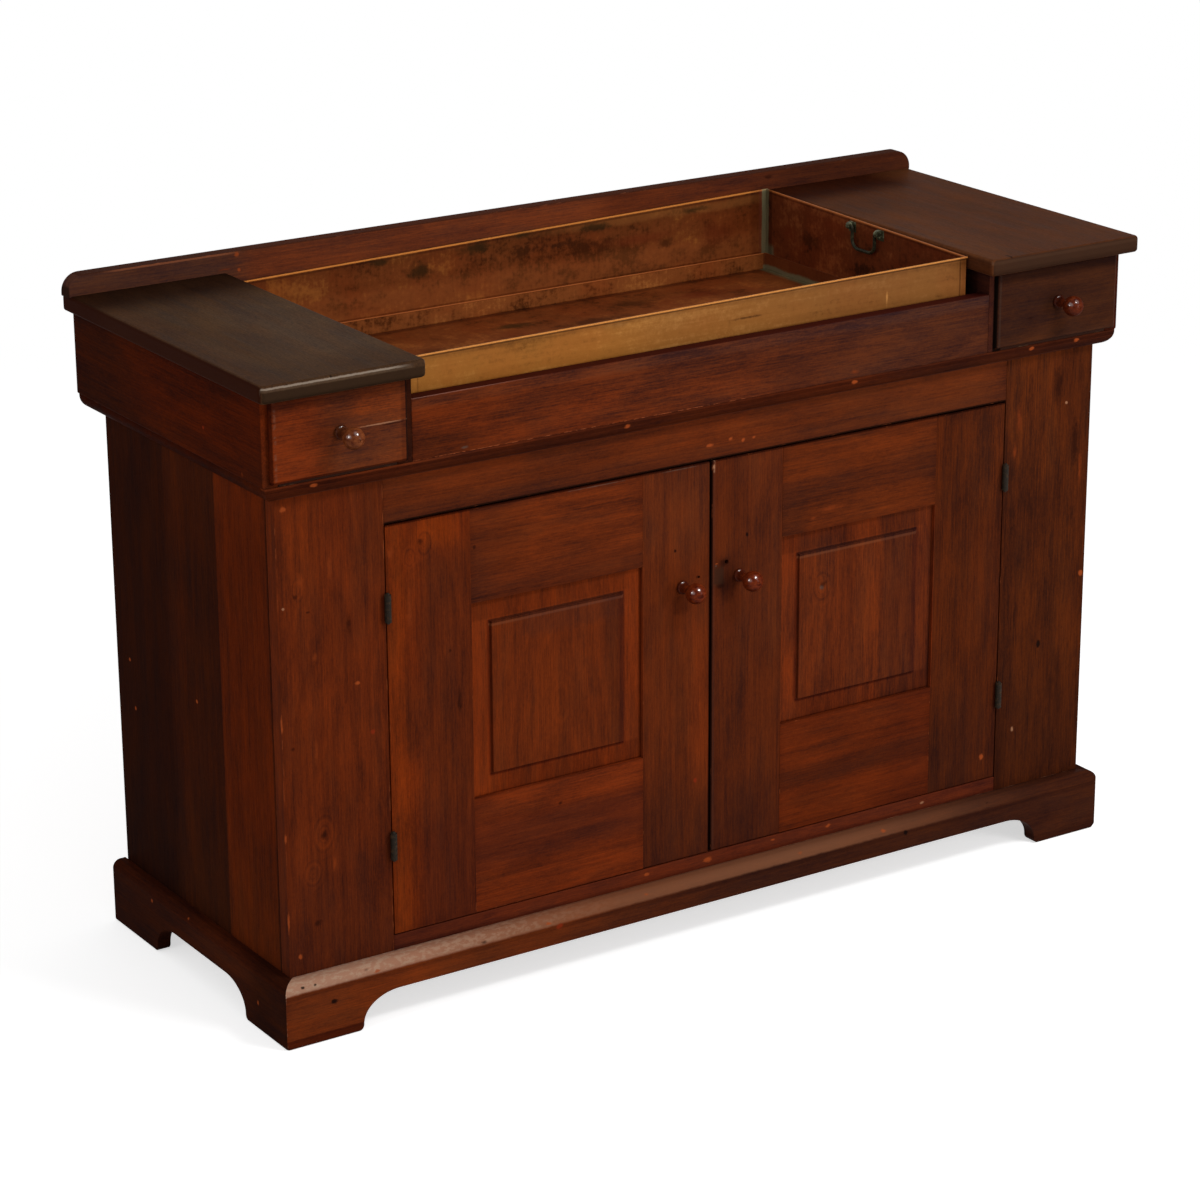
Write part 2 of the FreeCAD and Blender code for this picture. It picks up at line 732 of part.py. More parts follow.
# ---------- drawers ----------
def build_drawer(name, low_opening, high_opening):
    low_x = low_opening + drawer_side_gap
    high_x = high_opening - drawer_side_gap
    low_z = box_floor_top + drawer_floor_gap
    high_z = top_under - drawer_top_gap
    lip_back = box_front - lip_gap
    face_y = lip_back - lip_thickness
    body_back = face_y + drawer_front_thickness
    front = block(low_opening - lip_overlap, high_opening + lip_overlap, face_y, lip_back,
                  box_floor_top - lip_drop, high_z)
    front = round_edges(front, lip_round, lambda middle, edge: near(middle.y, face_y))
    front = front.fuse(block(low_x, high_x, lip_back, body_back, low_z, high_z)).removeSplitter()

    side_high = high_z - drawer_side_drop
    bottom_low = low_z + drawer_bottom_rise
    bottom_high = bottom_low + drawer_bottom_thickness
    back_end = face_y + drawer_length
    left_inner = low_x + drawer_side_thickness
    right_inner = high_x - drawer_side_thickness
    play = drawer_groove_clearance
    deep = drawer_groove_depth
    groove = block(left_inner - deep - play, right_inner + deep + play, body_back - deep - play, back_end,
                   bottom_low - play, bottom_high + play)
    parts[name + "_front"] = front.cut(groove)
    left = block(low_x, left_inner, body_back, back_end, low_z, side_high).cut(groove)
    right = block(right_inner, high_x, body_back, back_end, low_z, side_high).cut(groove)
    back = block(left_inner, right_inner, back_end - drawer_back_thickness, back_end,
                 bottom_high + play, side_high)
    parts[name + "_box"] = Part.makeCompound([left, right, back])
    parts[name + "_bottom"] = block(left_inner - deep, right_inner + deep, body_back - deep,
                                    back_end - drawer_bottom_setback, bottom_low, bottom_high)

    knob_x = (low_opening + high_opening) / 2
    knob_z = (box_floor_top - lip_drop + high_z) / 2
    parts[name + "_front"] = parts[name + "_front"].cut(knob_hole(knob_x, face_y, knob_z))
    parts[name + "_knob"] = turned_knob(knob_x, face_y, knob_z)


# ---------- copper tray ----------
def rim_level(x, y):
    """The height of the tray's rim, which the four corners set and the walls share."""
    across = (x - tray_left) / (tray_right - tray_left)
    along = (y - tray_front) / (tray_back - tray_front)
    front = rim_front_left * (1 - across) + rim_front_right * across
    back = rim_back_left * (1 - across) + rim_back_right * across
    return tray_low + front * (1 - along) + back * along


def bead(start, end):
    """The rolled edge along the top of a wall."""
    path = FreeCAD.Vector(*end) - FreeCAD.Vector(*start)
    return Part.makeCylinder(hem_radius, path.Length, FreeCAD.Vector(*start), path)


def long_wall(outer_y, outward):
    """The front or back wall: a sheet rolled outwards along its top over a folded hem."""
    left_rim = rim_level(tray_left, outer_y) - hem_radius
    right_rim = rim_level(tray_right, outer_y) - hem_radius
    low_y, high_y = sorted((outer_y, outer_y - outward * sheet))
    wall = prism([(tray_left, low_y, tray_low), (tray_right, low_y, tray_low),
                  (tray_right, low_y, right_rim), (tray_left, low_y, left_rim)], (0, sheet, 0))
    low_hem = min(outer_y, outer_y + outward * hem_thickness)
    hem = prism([(tray_left, low_hem, left_rim - hem_height), (tray_right, low_hem, right_rim - hem_height),
                 (tray_right, low_hem, right_rim), (tray_left, low_hem, left_rim)], (0, hem_thickness, 0))
    middle_y = outer_y + outward * (hem_radius - sheet)
    roll = bead((tray_left - hem_proud, middle_y, left_rim), (tray_right + hem_proud, middle_y, right_rim))
    return wall.fuse([hem, roll])


def end_wall(outer_x, outward):
    """The left or right wall, between the long walls, with the same rolled edge."""
    low_x = min(outer_x, outer_x - outward * sheet)
    start = tray_front + sheet
    end = tray_back - sheet
    front_rim = rim_level(outer_x, start) - hem_radius
    back_rim = rim_level(outer_x, end) - hem_radius
    wall = prism([(low_x, start, tray_low), (low_x, end, tray_low),
                  (low_x, end, back_rim), (low_x, start, front_rim)], (sheet, 0, 0))
    middle_x = outer_x + outward * (hem_radius - sheet)
    roll = bead((middle_x, start, front_rim), (middle_x, end, back_rim))
    return wall.fuse(roll)


def build_tray():
    front = long_wall(tray_front, -1)
    lap_front = tray_front - lap_thickness
    for low_x, high_x in ((tray_left, tray_left + lap_width), (tray_right - lap_width, tray_right)):
        low_top = rim_level(low_x, tray_front) - hem_radius - hem_height
        high_top = rim_level(high_x, tray_front) - hem_radius - hem_height
        front = front.fuse(prism([(low_x, lap_front, tray_low), (high_x, lap_front, tray_low),
                                  (high_x, lap_front, high_top), (low_x, lap_front, low_top)],
                                 (0, lap_thickness, 0)))
    parts["tray_front"] = front.removeSplitter()
    parts["tray_back"] = long_wall(tray_back, 1).removeSplitter()
    parts["tray_left"] = end_wall(tray_left, -1).removeSplitter()
    parts["tray_right"] = end_wall(tray_right, 1).removeSplitter()

    pan = block(tray_left + sheet, tray_right - sheet, tray_front + sheet, tray_back - sheet,
                tray_low, tray_low + curb_height)
    wall = 2 * sheet
    hollow = block(tray_left + wall, tray_right - wall, tray_front + wall, tray_back - wall,
                   tray_low + sheet, tray_low + curb_height + cut_margin)
    parts["tray_pan"] = pan.cut(hollow)


# ---------- tray handles ----------
def bail_place(outer_x, inward):
    y = (tray_front + tray_back) / 2 + bail_offset
    return outer_x + inward * (sheet + bail_stand_off), y, rim_level(outer_x, y) - bail_below_rim


def bail_handle(x, y, z):
    """A bent rod that hangs in two eyes: outward stubs, two legs and a level grip."""
    tip = bail_spacing / 2 + bail_stub
    corners = [(tip, 0, 0), (bail_leg, 0, bail_top_bend),
               (bail_leg, -bail_drop, bail_bottom_bend),
               (-bail_leg, -bail_drop, bail_bottom_bend),
               (-bail_leg, 0, bail_top_bend), (-tip, 0, 0)]
    points = [FreeCAD.Vector(x, y + across, z + up) for across, up, bend in corners]
    edges = []
    last = points[0]
    for index in range(1, len(corners) - 1):
        bend = corners[index][2]
        before = (points[index - 1] - points[index]).normalize()
        after = (points[index + 1] - points[index]).normalize()
        entry = points[index] + before * bend
        leave = points[index] + after * bend
        centre = points[index] + (before + after) * bend
        mid = centre - (before + after).normalize() * bend
        edges.append(Part.makeLine(last, entry))
        edges.append(Part.Arc(entry, mid, leave).toShape())
        last = leave
    edges.append(Part.makeLine(last, points[-1]))
    path = Part.Wire(edges)
    ring = Part.Wire(Part.makeCircle(bail_rod_radius, points[0], FreeCAD.Vector(0, 1, 0)))
    return path.makePipeShell([ring], True, False)


def bail_eye(x, y, z, inward):
    """A lug soldered to the wall, with a hole for the handle's stub."""
    wall_x = x - inward * bail_stand_off
    radius = bail_rod_radius + bail_clearance + eye_wall
    low_x, high_x = sorted((wall_x, x))
    lug = rod(radius, (x, y - eye_width / 2, z), (0, 1, 0), eye_width)
    web = block(low_x, high_x, y - eye_width / 2, y + eye_width / 2, z - radius, z + radius)
    low_pad, high_pad = sorted((wall_x, wall_x + inward * eye_pad_thickness))
    pad = block(low_pad, high_pad, y - eye_pad_width / 2, y + eye_pad_width / 2,
                z - eye_pad_height + radius, z + radius)
    eye = lug.fuse([web, pad])
    hole = rod(bail_rod_radius + bail_clearance, (x, y - eye_width, z), (0, 1, 0), 2 * eye_width)
    return eye.cut(hole).removeSplitter()


def build_bails():
    eyes = []
    for name, outer_x, inward in (("tray_left_bail", tray_left, 1), ("tray_right_bail", tray_right, -1)):
        x, y, z = bail_place(outer_x, inward)
        parts[name] = bail_handle(x, y, z)
        for offset in (-bail_spacing / 2, bail_spacing / 2):
            eyes.append(bail_eye(x, y + offset, z, inward))
    parts["tray_bail_eyes"] = Part.makeCompound(eyes)


def main():
    build_case()
    build_base()
    build_box()
    build_top()
    build_hinges()
    build_door("left_door", -1, (left_outer_stile, left_inner_stile),
               (catch_hole_radius, catch_hole_depth, catch_hole_inset, catch_hole_rise))
    build_door("right_door", 1, (right_outer_stile, right_inner_stile),
               (latch_hole_radius, latch_hole_depth, latch_hole_inset, latch_hole_rise))
    build_drawer("left_drawer", -box_inner, left_divider_out)
    build_drawer("right_drawer", right_divider_out, box_inner)
    build_tray()
    build_bails()
    os.makedirs("parts", exist_ok=True)
    for name, shape in parts.items():
        shape.exportStep("parts/" + name + ".step")
    print(len(parts), "nodes")


main()
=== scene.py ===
import json
import math
from functools import partial

import bmesh
import bpy
from mathutils import Matrix, Vector


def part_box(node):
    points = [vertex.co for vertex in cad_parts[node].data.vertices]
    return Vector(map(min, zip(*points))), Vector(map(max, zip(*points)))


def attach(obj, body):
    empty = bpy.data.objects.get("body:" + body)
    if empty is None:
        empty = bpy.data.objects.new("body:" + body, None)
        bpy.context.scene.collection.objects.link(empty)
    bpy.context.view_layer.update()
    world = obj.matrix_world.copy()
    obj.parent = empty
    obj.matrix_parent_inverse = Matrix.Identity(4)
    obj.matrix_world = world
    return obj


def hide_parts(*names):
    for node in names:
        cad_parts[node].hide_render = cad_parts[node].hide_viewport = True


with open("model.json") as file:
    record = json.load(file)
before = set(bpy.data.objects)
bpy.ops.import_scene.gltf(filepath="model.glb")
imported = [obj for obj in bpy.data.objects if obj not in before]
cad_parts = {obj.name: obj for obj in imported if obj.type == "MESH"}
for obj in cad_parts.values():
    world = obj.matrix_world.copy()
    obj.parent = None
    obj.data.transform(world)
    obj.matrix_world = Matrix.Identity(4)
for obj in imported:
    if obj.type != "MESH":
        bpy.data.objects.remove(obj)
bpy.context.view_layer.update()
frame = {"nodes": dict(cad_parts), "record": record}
nodes = frame["nodes"]
bodyOf = {}
for bodyName, memberNames in frame["record"]["behaviour"]["bodies"].items():
    for memberName in memberNames:
        bodyOf[memberName] = bodyName
mm = 0.001
print("frame loaded,", len(nodes), "nodes")


def addObject(name, data):
    made = bpy.data.objects.new(name, data)
    bpy.context.scene.collection.objects.link(made)
    return made


# camera: metres, degrees, and mm for the lens
view = {
    "place": (-2.69835, -4.09298, 2.12008),
    "azimuth": -33.0162,
    "elevation": 19.1111,
    "roll": -0.3013,
    "lens": 110.58,
    "sensor": 36.0,
    "clip": (0.1, 200),
}


def addCamera(values):
    azimuth = math.radians(values["azimuth"])
    elevation = math.radians(values["elevation"])
    roll = math.radians(values["roll"])
    right = Vector((math.cos(azimuth), math.sin(azimuth), 0))
    back = Vector((math.sin(azimuth) * math.cos(elevation), -math.cos(azimuth) * math.cos(elevation),
                   math.sin(elevation)))
    up = back.cross(right)
    across = math.cos(roll) * right + math.sin(roll) * up
    above = math.cos(roll) * up - math.sin(roll) * right
    turn = Matrix((across, above, back)).transposed().to_4x4()
    data = bpy.data.cameras.new("camera")
    data.lens = values["lens"]
    data.sensor_width = values["sensor"]
    data.clip_start, data.clip_end = values["clip"]
    camera = addObject("camera", data)
    camera.matrix_world = Matrix.Translation(values["place"]) @ turn
    bpy.context.scene.camera = camera


addCamera(view)
bpy.context.scene.view_settings.view_transform = "Standard"


# a socket that takes part in plain Python sums
class Wire:
    def __init__(self, tree, socket=None):
        self.tree = tree
        self.socket = socket

    def node(self, kind, inputs, output=0, **settings):
        made = self.tree.nodes.new(kind)
        for key, value in settings.items():
            setattr(made, key, value)
        for key, value in inputs.items():
            if isinstance(value, Wire):
                self.tree.links.new(value.socket, made.inputs[key])
            else:
                made.inputs[key].default_value = value
        return Wire(self.tree, made.outputs[output] if made.outputs else None)

    def maths(self, operation, first, second):
        return self.node("ShaderNodeMath", {0: first, 1: second}, operation=operation)

    def __add__(self, other):
        return self.maths("ADD", self, other)

    def __radd__(self, other):
        return self.maths("ADD", other, self)

    def __sub__(self, other):
        return self.maths("SUBTRACT", self, other)

    def __rsub__(self, other):
        return self.maths("SUBTRACT", other, self)

    def __mul__(self, other):
        return self.maths("MULTIPLY", self, other)

    def __rmul__(self, other):
        return self.maths("MULTIPLY", other, self)

    def __pow__(self, other):
        return self.maths("POWER", self, other)

    def least(self, other):
        return self.maths("MINIMUM", self, other)

    def most(self, other):
        return self.maths("MAXIMUM", self, other)


def emptyTree(owner):
    owner.use_nodes = True
    owner.node_tree.nodes.clear()
    return Wire(owner.node_tree)


def ease(value, low, high):
    # 0 at low and 1 at high, smooth between; low may be above high
    return value.node("ShaderNodeMapRange", {"Value": value, "From Min": low, "From Max": high},
                      interpolation_type="SMOOTHSTEP")


def blend(factor, first, second, how="MIX"):
    maker = next(value for value in (factor, first, second) if isinstance(value, Wire))
    return maker.node("ShaderNodeMix", {0: factor, 6: first, 7: second}, output=2,
                      data_type="RGBA", blend_type=how)


def placed(where, scale, shift=(0, 0, 0)):
    return where.node("ShaderNodeMapping", {"Vector": where, "Location": shift, "Scale": scale})


def noise(where, detail=2.0, roughness=0.5):
    return where.node("ShaderNodeTexNoise", {"Vector": where, "Scale": 1.0, "Detail": detail,
                                             "Roughness": roughness})


def noiseAlong(value, scale, shift=0.0, detail=2.0, roughness=0.5):
    return value.node("ShaderNodeTexNoise", {"W": value + shift, "Scale": scale, "Detail": detail,
                                             "Roughness": roughness}, noise_dimensions="1D")


def screen(red, green, blue):
    # a colour as it looks on a screen, 0 to 255, made linear
    linear = []
    for value in (red, green, blue):
        part = value / 255
        linear.append(part / 12.92 if part <= 0.04045 else ((part + 0.055) / 1.055) ** 2.4)
    return (*linear, 1.0)


def tinted(colour, factors):
    return (*(min(1.0, part * factor) for part, factor in zip(colour, factors)), 1.0)


axes = "xyz"


def layer(how, colour, amount, ragged=0.0, outside=False, **limits):
    # limits are (low, high, softness) in mm, outside means all but them; a scuff is broken paint
    return how, colour, amount, ragged, outside, limits


tint = partial(layer, "tint")
paint = partial(layer, "paint")
scuff = partial(layer, "scuff")

surfaceForm = {              # edges: the value at which something begins and the one at which it's full
    "fray": 4,               # mm that a ragged edge wanders
    "scuffEdge": (-0.06, 0.12),
    "markEdge": 1.2,         # in half sizes of the mark
    "bump": 0.35,
}


class Surface:
    # one material, and what its layers read: the piece's coordinates and its box
    def __init__(self, name, box, look):
        self.material = bpy.data.materials.new(name)
        self.tree = emptyTree(self.material)
        self.where = self.tree.node("ShaderNodeTexCoord", {}, output="Object")
        self.at = {axis: self.where.node("ShaderNodeSeparateXYZ", {0: self.where}, output=number)
                   for number, axis in enumerate(axes)}
        self.grain = axes.index(look["grain"])
        self.deep = axes.index(look["face"])
        self.wide = 3 - self.grain - self.deep
        self.middle = (box[0] + box[1]) / 2
        self.half = (box[1] - box[0]) / 2
        self.half[self.grain] -= look.get("trim", 0) * mm
        # the broad face that is seen: the front, the top or the outer end
        sign = {"x": 1 if self.middle[0] > 0 else -1, "y": -1, "z": 1}[look["face"]]
        self.outer = self.middle[self.deep] + sign * self.half[self.deep]
        self.seed = look["seed"] * 3.7

    def fromMiddle(self, number):
        return self.at[axes[number]] - self.middle[number]

    def grainNoise(self, wideSize, longSize, shift=0.0, detail=2.0, roughness=0.55):
        # a noise about 0 whose blobs are so wide across the grain and so long with it
        scale = [0, 0, 0]
        scale[self.grain] = 1 / (longSize * mm)
        scale[self.wide] = scale[self.deep] = 1 / (wideSize * mm)
        offset = (self.seed + shift, self.seed * 0.7, self.seed * 1.3 + shift)
        return noise(placed(self.where, scale, offset), detail, roughness) - 0.5

    def oval(self, place, size, depth=None):
        # distance from a spot on the broad face, 1 at its rim; without a depth it goes right through
        flat = [axis for axis in range(3) if axis != self.deep]
        scale = [0, 0, 0]
        shift = [0, 0, 0]
        for axis, centre, reach in zip(flat, place, size):
            scale[axis] = 1 / (reach * mm)
            shift[axis] = -centre / reach
        if depth is not None:
            scale[self.deep] = 1 / (depth * mm)
            shift[self.deep] = -self.outer / (depth * mm)
        inside = placed(self.where, scale, shift)
        return self.where.node("ShaderNodeVectorMath", {0: inside}, output=1, operation="LENGTH")

    def band(self, limits, waver):
        # 1 where every named coordinate lies between its limits
        mask = None
        for axis, (low, high, soft) in limits.items():
            value = self.at[axis] if waver is None else self.at[axis] + waver
            for limit, reach in ((low, soft / 2), (high, -soft / 2)):
                if limit is not None:
                    step = ease(value, (limit - reach) * mm, (limit + reach) * mm)
                    mask = step if mask is None else mask * step
        return mask

    def arrisGap(self):
        # distance to the nearest arris: the second smallest of the distances to the box's faces
        gaps = []
        for number in range(3):
            offset = self.fromMiddle(number)
            offset = offset.node("ShaderNodeMath", {0: offset}, operation="ABSOLUTE")
            gaps.append(self.half[number] - offset)
        first, second, third = gaps
        return first.least(second).most(first.most(second).least(third))

    def layered(self, colour, layers, rough):
        # rough is a noise about 0 that frays the layers' edges and breaks the scuffs
        for how, tone, amount, ragged, outside, limits in layers:
            mask = self.band(limits, rough * (ragged * surfaceForm["fray"] * mm) if ragged else None)
            if outside:
                mask = 1 - mask
            if how == "scuff":
                mask = mask * ease(rough, *surfaceForm["scuffEdge"])
            mask = mask * amount
            if how == "tint":
                colour = blend(mask, colour, (*tone, 1.0), "MULTIPLY")
            else:
                colour = blend(mask, colour, screen(*tone))
        return colour

    def marked(self, colour, marks, tones, fray, depth=None):
        # oval marks of each kind, their rims frayed by a noise
        for kind, spots in marks.items():
            tone, cover, core = tones[kind]
            for across, above, *size in spots:
                spot = self.oval((across, above), size, depth) + fray
                spot = ease(spot, surfaceForm["markEdge"], core) * cover
                colour = blend(spot, colour, screen(*tone))
        return colour

    def finish(self, colour, roughness, height, depth, gloss, **others):
        bump = self.tree.node("ShaderNodeBump", {
            "Strength": surfaceForm["bump"], "Distance": depth * mm, "Height": height})
        shader = self.tree.node("ShaderNodeBsdfPrincipled", {
            "Base Color": colour, "Roughness": roughness, "Specular IOR Level": gloss, "Normal": bump,
            **others})
        self.tree.node("ShaderNodeOutputMaterial", {"Surface": shader})
        return self.material


# kinds of marks: the colour, how much it covers, and how far out from the middle it's at its fullest
woodMarks = {
    "dark": ((34, 13, 8), 0.7, 0.2),
    "black": ((14, 9, 8), 0.9, 0.5),
    "orange": ((150, 68, 30), 0.8, 0.4),
    "pale": ((160, 112, 82), 0.7, 0.4),
    "red": ((128, 40, 18), 0.7, 0.3),
    "grey": ((84, 68, 58), 0.6, 0.3),
    "light": ((124, 52, 20), 0.6, -0.2),
}

plainWood = {
    "grain": "x",            # the way the fibres run
    "face": "y",             # the way the broad face looks
    "tone": (96, 39, 18),    # middle colour
    "contrast": 1.15,        # how far light and dark figure stand apart
    "darkTint": (0.46, 0.54, 0.95),
    "lightTint": (1.52, 1.42, 1.12),
    "brownTint": (0.82, 0.94, 1.15),
    "browns": 0.7,           # how brown the browner areas are
    "pith": (0, 90),         # the tree's heart: aside of the board's middle, and behind its face
    "taper": 0.06,
    "sway": 26,              # how far the heart wanders
    "ring": 11,              # width of a growth ring
    "rings": 0.1,
    "lines": 0.05,
    "streaks": 0.27,
    "fineStreaks": 0.36,
    "fibres": 0.4,
    "speckle": 0.26,
    "blotches": 0.46,
    "clouds": 0.3,
    "edgeShadeAndGrime": 0.25,           # darker towards the arrises: painted shade where parts meet, and grime
    "knots": (),             # place, size, strength of the arcs round it
    "marks": {},             # by kind: place across, place along or up, and half the size of each
    "wear": 0.12,
    "wearTone": (142, 70, 36),
    "wearWidth": 1.8,
    "trim": 0,               # length of the tenons that the box holds
    "roughness": 0.45,
    "gloss": 0.006,
    "seed": 1,
}

grainNoises = {              # width and length of the blobs in mm, shift, detail, roughness
    "streaks": (9, 260, 2),
    "fineStreaks": (2.2, 90, 12),
    "fibres": (0.9, 14, 3),
    "blotches": (36, 100, 4, 4.0, 0.62),
    "clouds": (140, 260, 7, 1.0),
    "speckle": (2.5, 4, 21, 3.0, 0.7),
}
woodForm = {                 # noises as in grainNoises, edges as in surfaceForm
    "wanderScale": 2.4,      # how often the heart sways, in 1/m
    "waves": (90, 300, 5),
    "waviness": 4,           # how far the waves bend the rings, in rings
    "lineSpacing": 2.2,      # from one dark line to the next, in rings
    "lineSway": 0.9,
    "lineRise": (0.35, 0.94),
    "lineFall": (1.0, 0.95),
    "lineTint": (0.3, 0.3, 0.5),
    "knotEdge": (1.0, 0.2),
    "knotArcs": 5.0,
    "browns": (26, 120, 14, 4.0, 0.62),
    "brownEdge": (-0.06, 0.14),
    "frays": (5, 9, 9, 3.0, 0.6),
    "edgeShadeReach": 11,        # mm from the arris
    "edgeShadeSway": 8,          # mm that its edge wanders
    "edgeShadeTint": (0.55, 0.5, 0.6, 1.0),
    "scuffs": (9, 26, 6, 3.0, 0.65),
    "scuffEdge": (0.14, 0.2),
    "scuffMore": 0.24,       # how much wear widens the scuffs
    "wornCore": 0.3,         # mm from the arris
    "wornCover": (0.3, 0.6), # how much the worn tone covers, and how much more with wear
    "markDepth": 3,          # mm behind the face
    "markFray": 1.6,
    "swells": (28, 60, 11),
    "relief": 0.5,           # mm
    "raised": (0.5, 0.5, 0.3),         # by streaks, fibres and rings
    "dulled": (0.3, 0.25, 0.1),        # by blotches, streaks and wear
    "glossTint": (1.0, 0.62, 0.44, 1.0),
}


def woodMaterial(name, box, look, layers):
    look = {**plainWood, **look}
    form = woodForm
    surface = Surface(name, box, look)
    noises = {key: surface.grainNoise(*values) for key, values in grainNoises.items()}
    waves, browner, frayed, scuffs, swells = (
        surface.grainNoise(*form[key]) for key in ("waves", "browns", "frays", "scuffs", "swells"))
    along = surface.fromMiddle(surface.grain)
    ring = look["ring"] * mm

    # growth rings round a heart that wanders behind the face
    wander = noiseAlong(along, form["wanderScale"], surface.seed) - 0.5
    aside = surface.fromMiddle(surface.wide) - look["pith"][0] * mm - wander * (look["sway"] * 2 * mm)
    inward = surface.fromMiddle(surface.deep) - look["pith"][1] * mm
    rings = (aside * aside + inward * inward) ** 0.5
    rings = rings + along * look["taper"] + waves * (ring * form["waviness"])
    arcs = None
    for place, size, strength in look["knots"]:
        distance = surface.oval(place, size)
        inside = ease(distance, *form["knotEdge"])
        rings = rings + inside * ring
        arc = noiseAlong(distance + waves, form["knotArcs"], surface.seed, 1.0) - 0.5
        arc = arc * inside * (strength * 2)
        arcs = arc if arcs is None else arcs + arc
    grown = noiseAlong(rings, 1 / ring, surface.seed, 1.5) - 0.5
    phase = rings * (1 / (ring * form["lineSpacing"])) + grown * form["lineSway"]
    phase = phase.node("ShaderNodeMath", {0: phase}, operation="FRACT")
    lines = ease(phase, *form["lineRise"]) * ease(phase, *form["lineFall"])

    figure = grown * look["rings"]
    for key in noises:
        figure = figure + noises[key] * look[key]
    if arcs is not None:
        figure = figure + arcs
    tone = screen(*look["tone"])
    colour = blend(0.5 + figure * (2 * look["contrast"]), tinted(tone, look["darkTint"]),
                   tinted(tone, look["lightTint"]))
    browns = ease(browner, *form["brownEdge"]) * look["browns"]
    colour = blend(browns, colour, (*look["brownTint"], 1.0), "MULTIPLY")
    colour = blend(lines * look["lines"], colour, tinted(tone, form["lineTint"]))

    edge = surface.arrisGap()
    # painted shade and grime: darker towards the arrises
    shadeAndGrime = edge + noises["blotches"] * (form["edgeShadeSway"] * mm)
    shadeAndGrime = ease(shadeAndGrime, form["edgeShadeReach"] * mm, 0) * look["edgeShadeAndGrime"]
    colour = blend(shadeAndGrime, colour, form["edgeShadeTint"], "MULTIPLY")
    colour = surface.layered(colour, layers, frayed)
    low, high = form["scuffEdge"]
    worn = ease(edge, look["wearWidth"] * mm, form["wornCore"] * mm)
    worn = worn * ease(scuffs, low - form["scuffMore"] * look["wear"], high)
    cover, moreWithWear = form["wornCover"]
    colour = blend(worn * (cover + moreWithWear * look["wear"]), colour, screen(*look["wearTone"]))
    colour = surface.marked(colour, look["marks"], woodMarks, frayed * form["markFray"], form["markDepth"])

    byBlotches, byStreaks, byWear = form["dulled"]
    dull = look["roughness"] + noises["blotches"] * byBlotches + noises["streaks"] * byStreaks
    dull = dull + worn * byWear
    byStreaks, byFibres, byRings = form["raised"]
    height = noises["streaks"] * byStreaks + noises["fibres"] * byFibres + grown * byRings + swells
    return surface.finish(colour, dull, height, form["relief"], look["gloss"],
                          **{"Specular Tint": form["glossTint"]})


def setMaterial(piece, material):
    piece.data.materials.clear()
    piece.data.materials.append(material)


rubbing = {"weld": 0.01, "flat": 0.3, "sharp": 32, "segments": 3}    # mm, degrees, degrees


def wornCopy(name, arris):
    # a merged copy of a node whose sharp edges are rubbed round
    shape = bmesh.new()
    shape.from_mesh(nodes[name].data)
    bmesh.ops.remove_doubles(shape, verts=shape.verts, dist=rubbing["weld"] * mm)
    bmesh.ops.dissolve_limit(shape, angle_limit=math.radians(rubbing["flat"]), verts=shape.verts,
                             edges=shape.edges)
    sharp = [edge for edge in shape.edges
             if len(edge.link_faces) == 2 and edge.calc_face_angle(0) > math.radians(rubbing["sharp"])]
    bmesh.ops.bevel(shape, geom=sharp, offset=arris * mm, segments=rubbing["segments"], profile=0.5,
                    affect="EDGES", material=-1, clamp_overlap=True)
    for face in shape.faces:
        face.smooth = True
    data = bpy.data.meshes.new(name + "_worn")
    shape.to_mesh(data)
    shape.free()
    piece = addObject(name + "_worn", data)
    facing = piece.modifiers.new("facing", "WEIGHTED_NORMAL")
    facing.keep_sharp = True
    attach(piece, bodyOf[name])
    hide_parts(name)
    return piece


def board(name, look, *layers, arris=1.2):
    # arris 0 keeps the node itself: lengths that meet corner to corner can't be merged
    piece = wornCopy(name, arris) if arris else nodes[name]
    setMaterial(piece, woodMaterial(name + "_wood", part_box(name), look, layers))


# case front: stiles, rails and sill
board("left_stile", {
    "grain": "z", "tone": (94, 37, 14), "pith": (-6, 40), "taper": 0.1, "sway": 44, "rings": 0.16,
    "lines": 0.1, "seed": 2, "wear": 0.5, "gloss": 0.002,
    "knots": (((-604, 280), (30, 46), 0.3), ((-622, 229), (26, 36), 0.26), ((-631, 618), (20, 36), 0.2)),
    "marks": {
        "orange": ((-649, 727, 5, 4), (-549, 477, 4, 3), (-661, 444, 2.2, 13), (-661, 286, 2.2, 7),
                   (-661, 168, 2.2, 15), (-645, 118, 3, 4)),
        "dark": ((-635, 610, 4, 4), (-618, 586, 4, 2), (-604, 279, 6, 8), (-618, 159, 7, 5),
                 (-646, 407, 3, 3), (-560, 560, 4, 14)),
        "light": ((-628, 628, 7, 14), (-610, 524, 5, 9), (-585, 640, 4, 22), (-612, 396, 3.5, 22),
                  (-590, 236, 6, 12), (-661, 352, 1.6, 22)), "pale": ((-653, 597, 2.2, 2),),
        "red": ((-529, 406, 4, 4),)}},
    tint((0.68, 0.8, 1.15), 1.0, z=(None, 220, 300)),
    tint((1.15, 1.15, 1.0), 0.8, 8, x=(-660, -600, 40), z=(600, 735, 90)),
    tint((0.72, 0.85, 1.1), 0.8, 8, x=(-548, None, 40), z=(600, None, 90)))
board("right_stile", {
    "grain": "z", "tone": (70, 30, 12), "contrast": 1.45, "pith": (20, 60), "sway": 36, "seed": 3,
    "marks": {
        "pale": ((616, 662, 2.6, 2.2), (536, 181, 2.5, 4)), "orange": ((655, 399, 4, 5),),
        "black": ((580, 304, 4, 6),), "dark": ((600, 690, 10, 30), (634, 600, 8, 40)),
        "light": ((531, 652, 5, 24), (524, 604, 4, 12), (646, 560, 4, 30))}},
    tint((1.25, 1.25, 1.15), 1.0, 6, x=(None, 600, 60), z=(545, None, 120)),
    tint((0.72, 0.78, 0.95), 1.0, z=(None, 240, 260)),
    tint((0.6, 0.65, 0.85), 0.7, 3, x=(None, 524, 14), z=(None, 260, 80)))
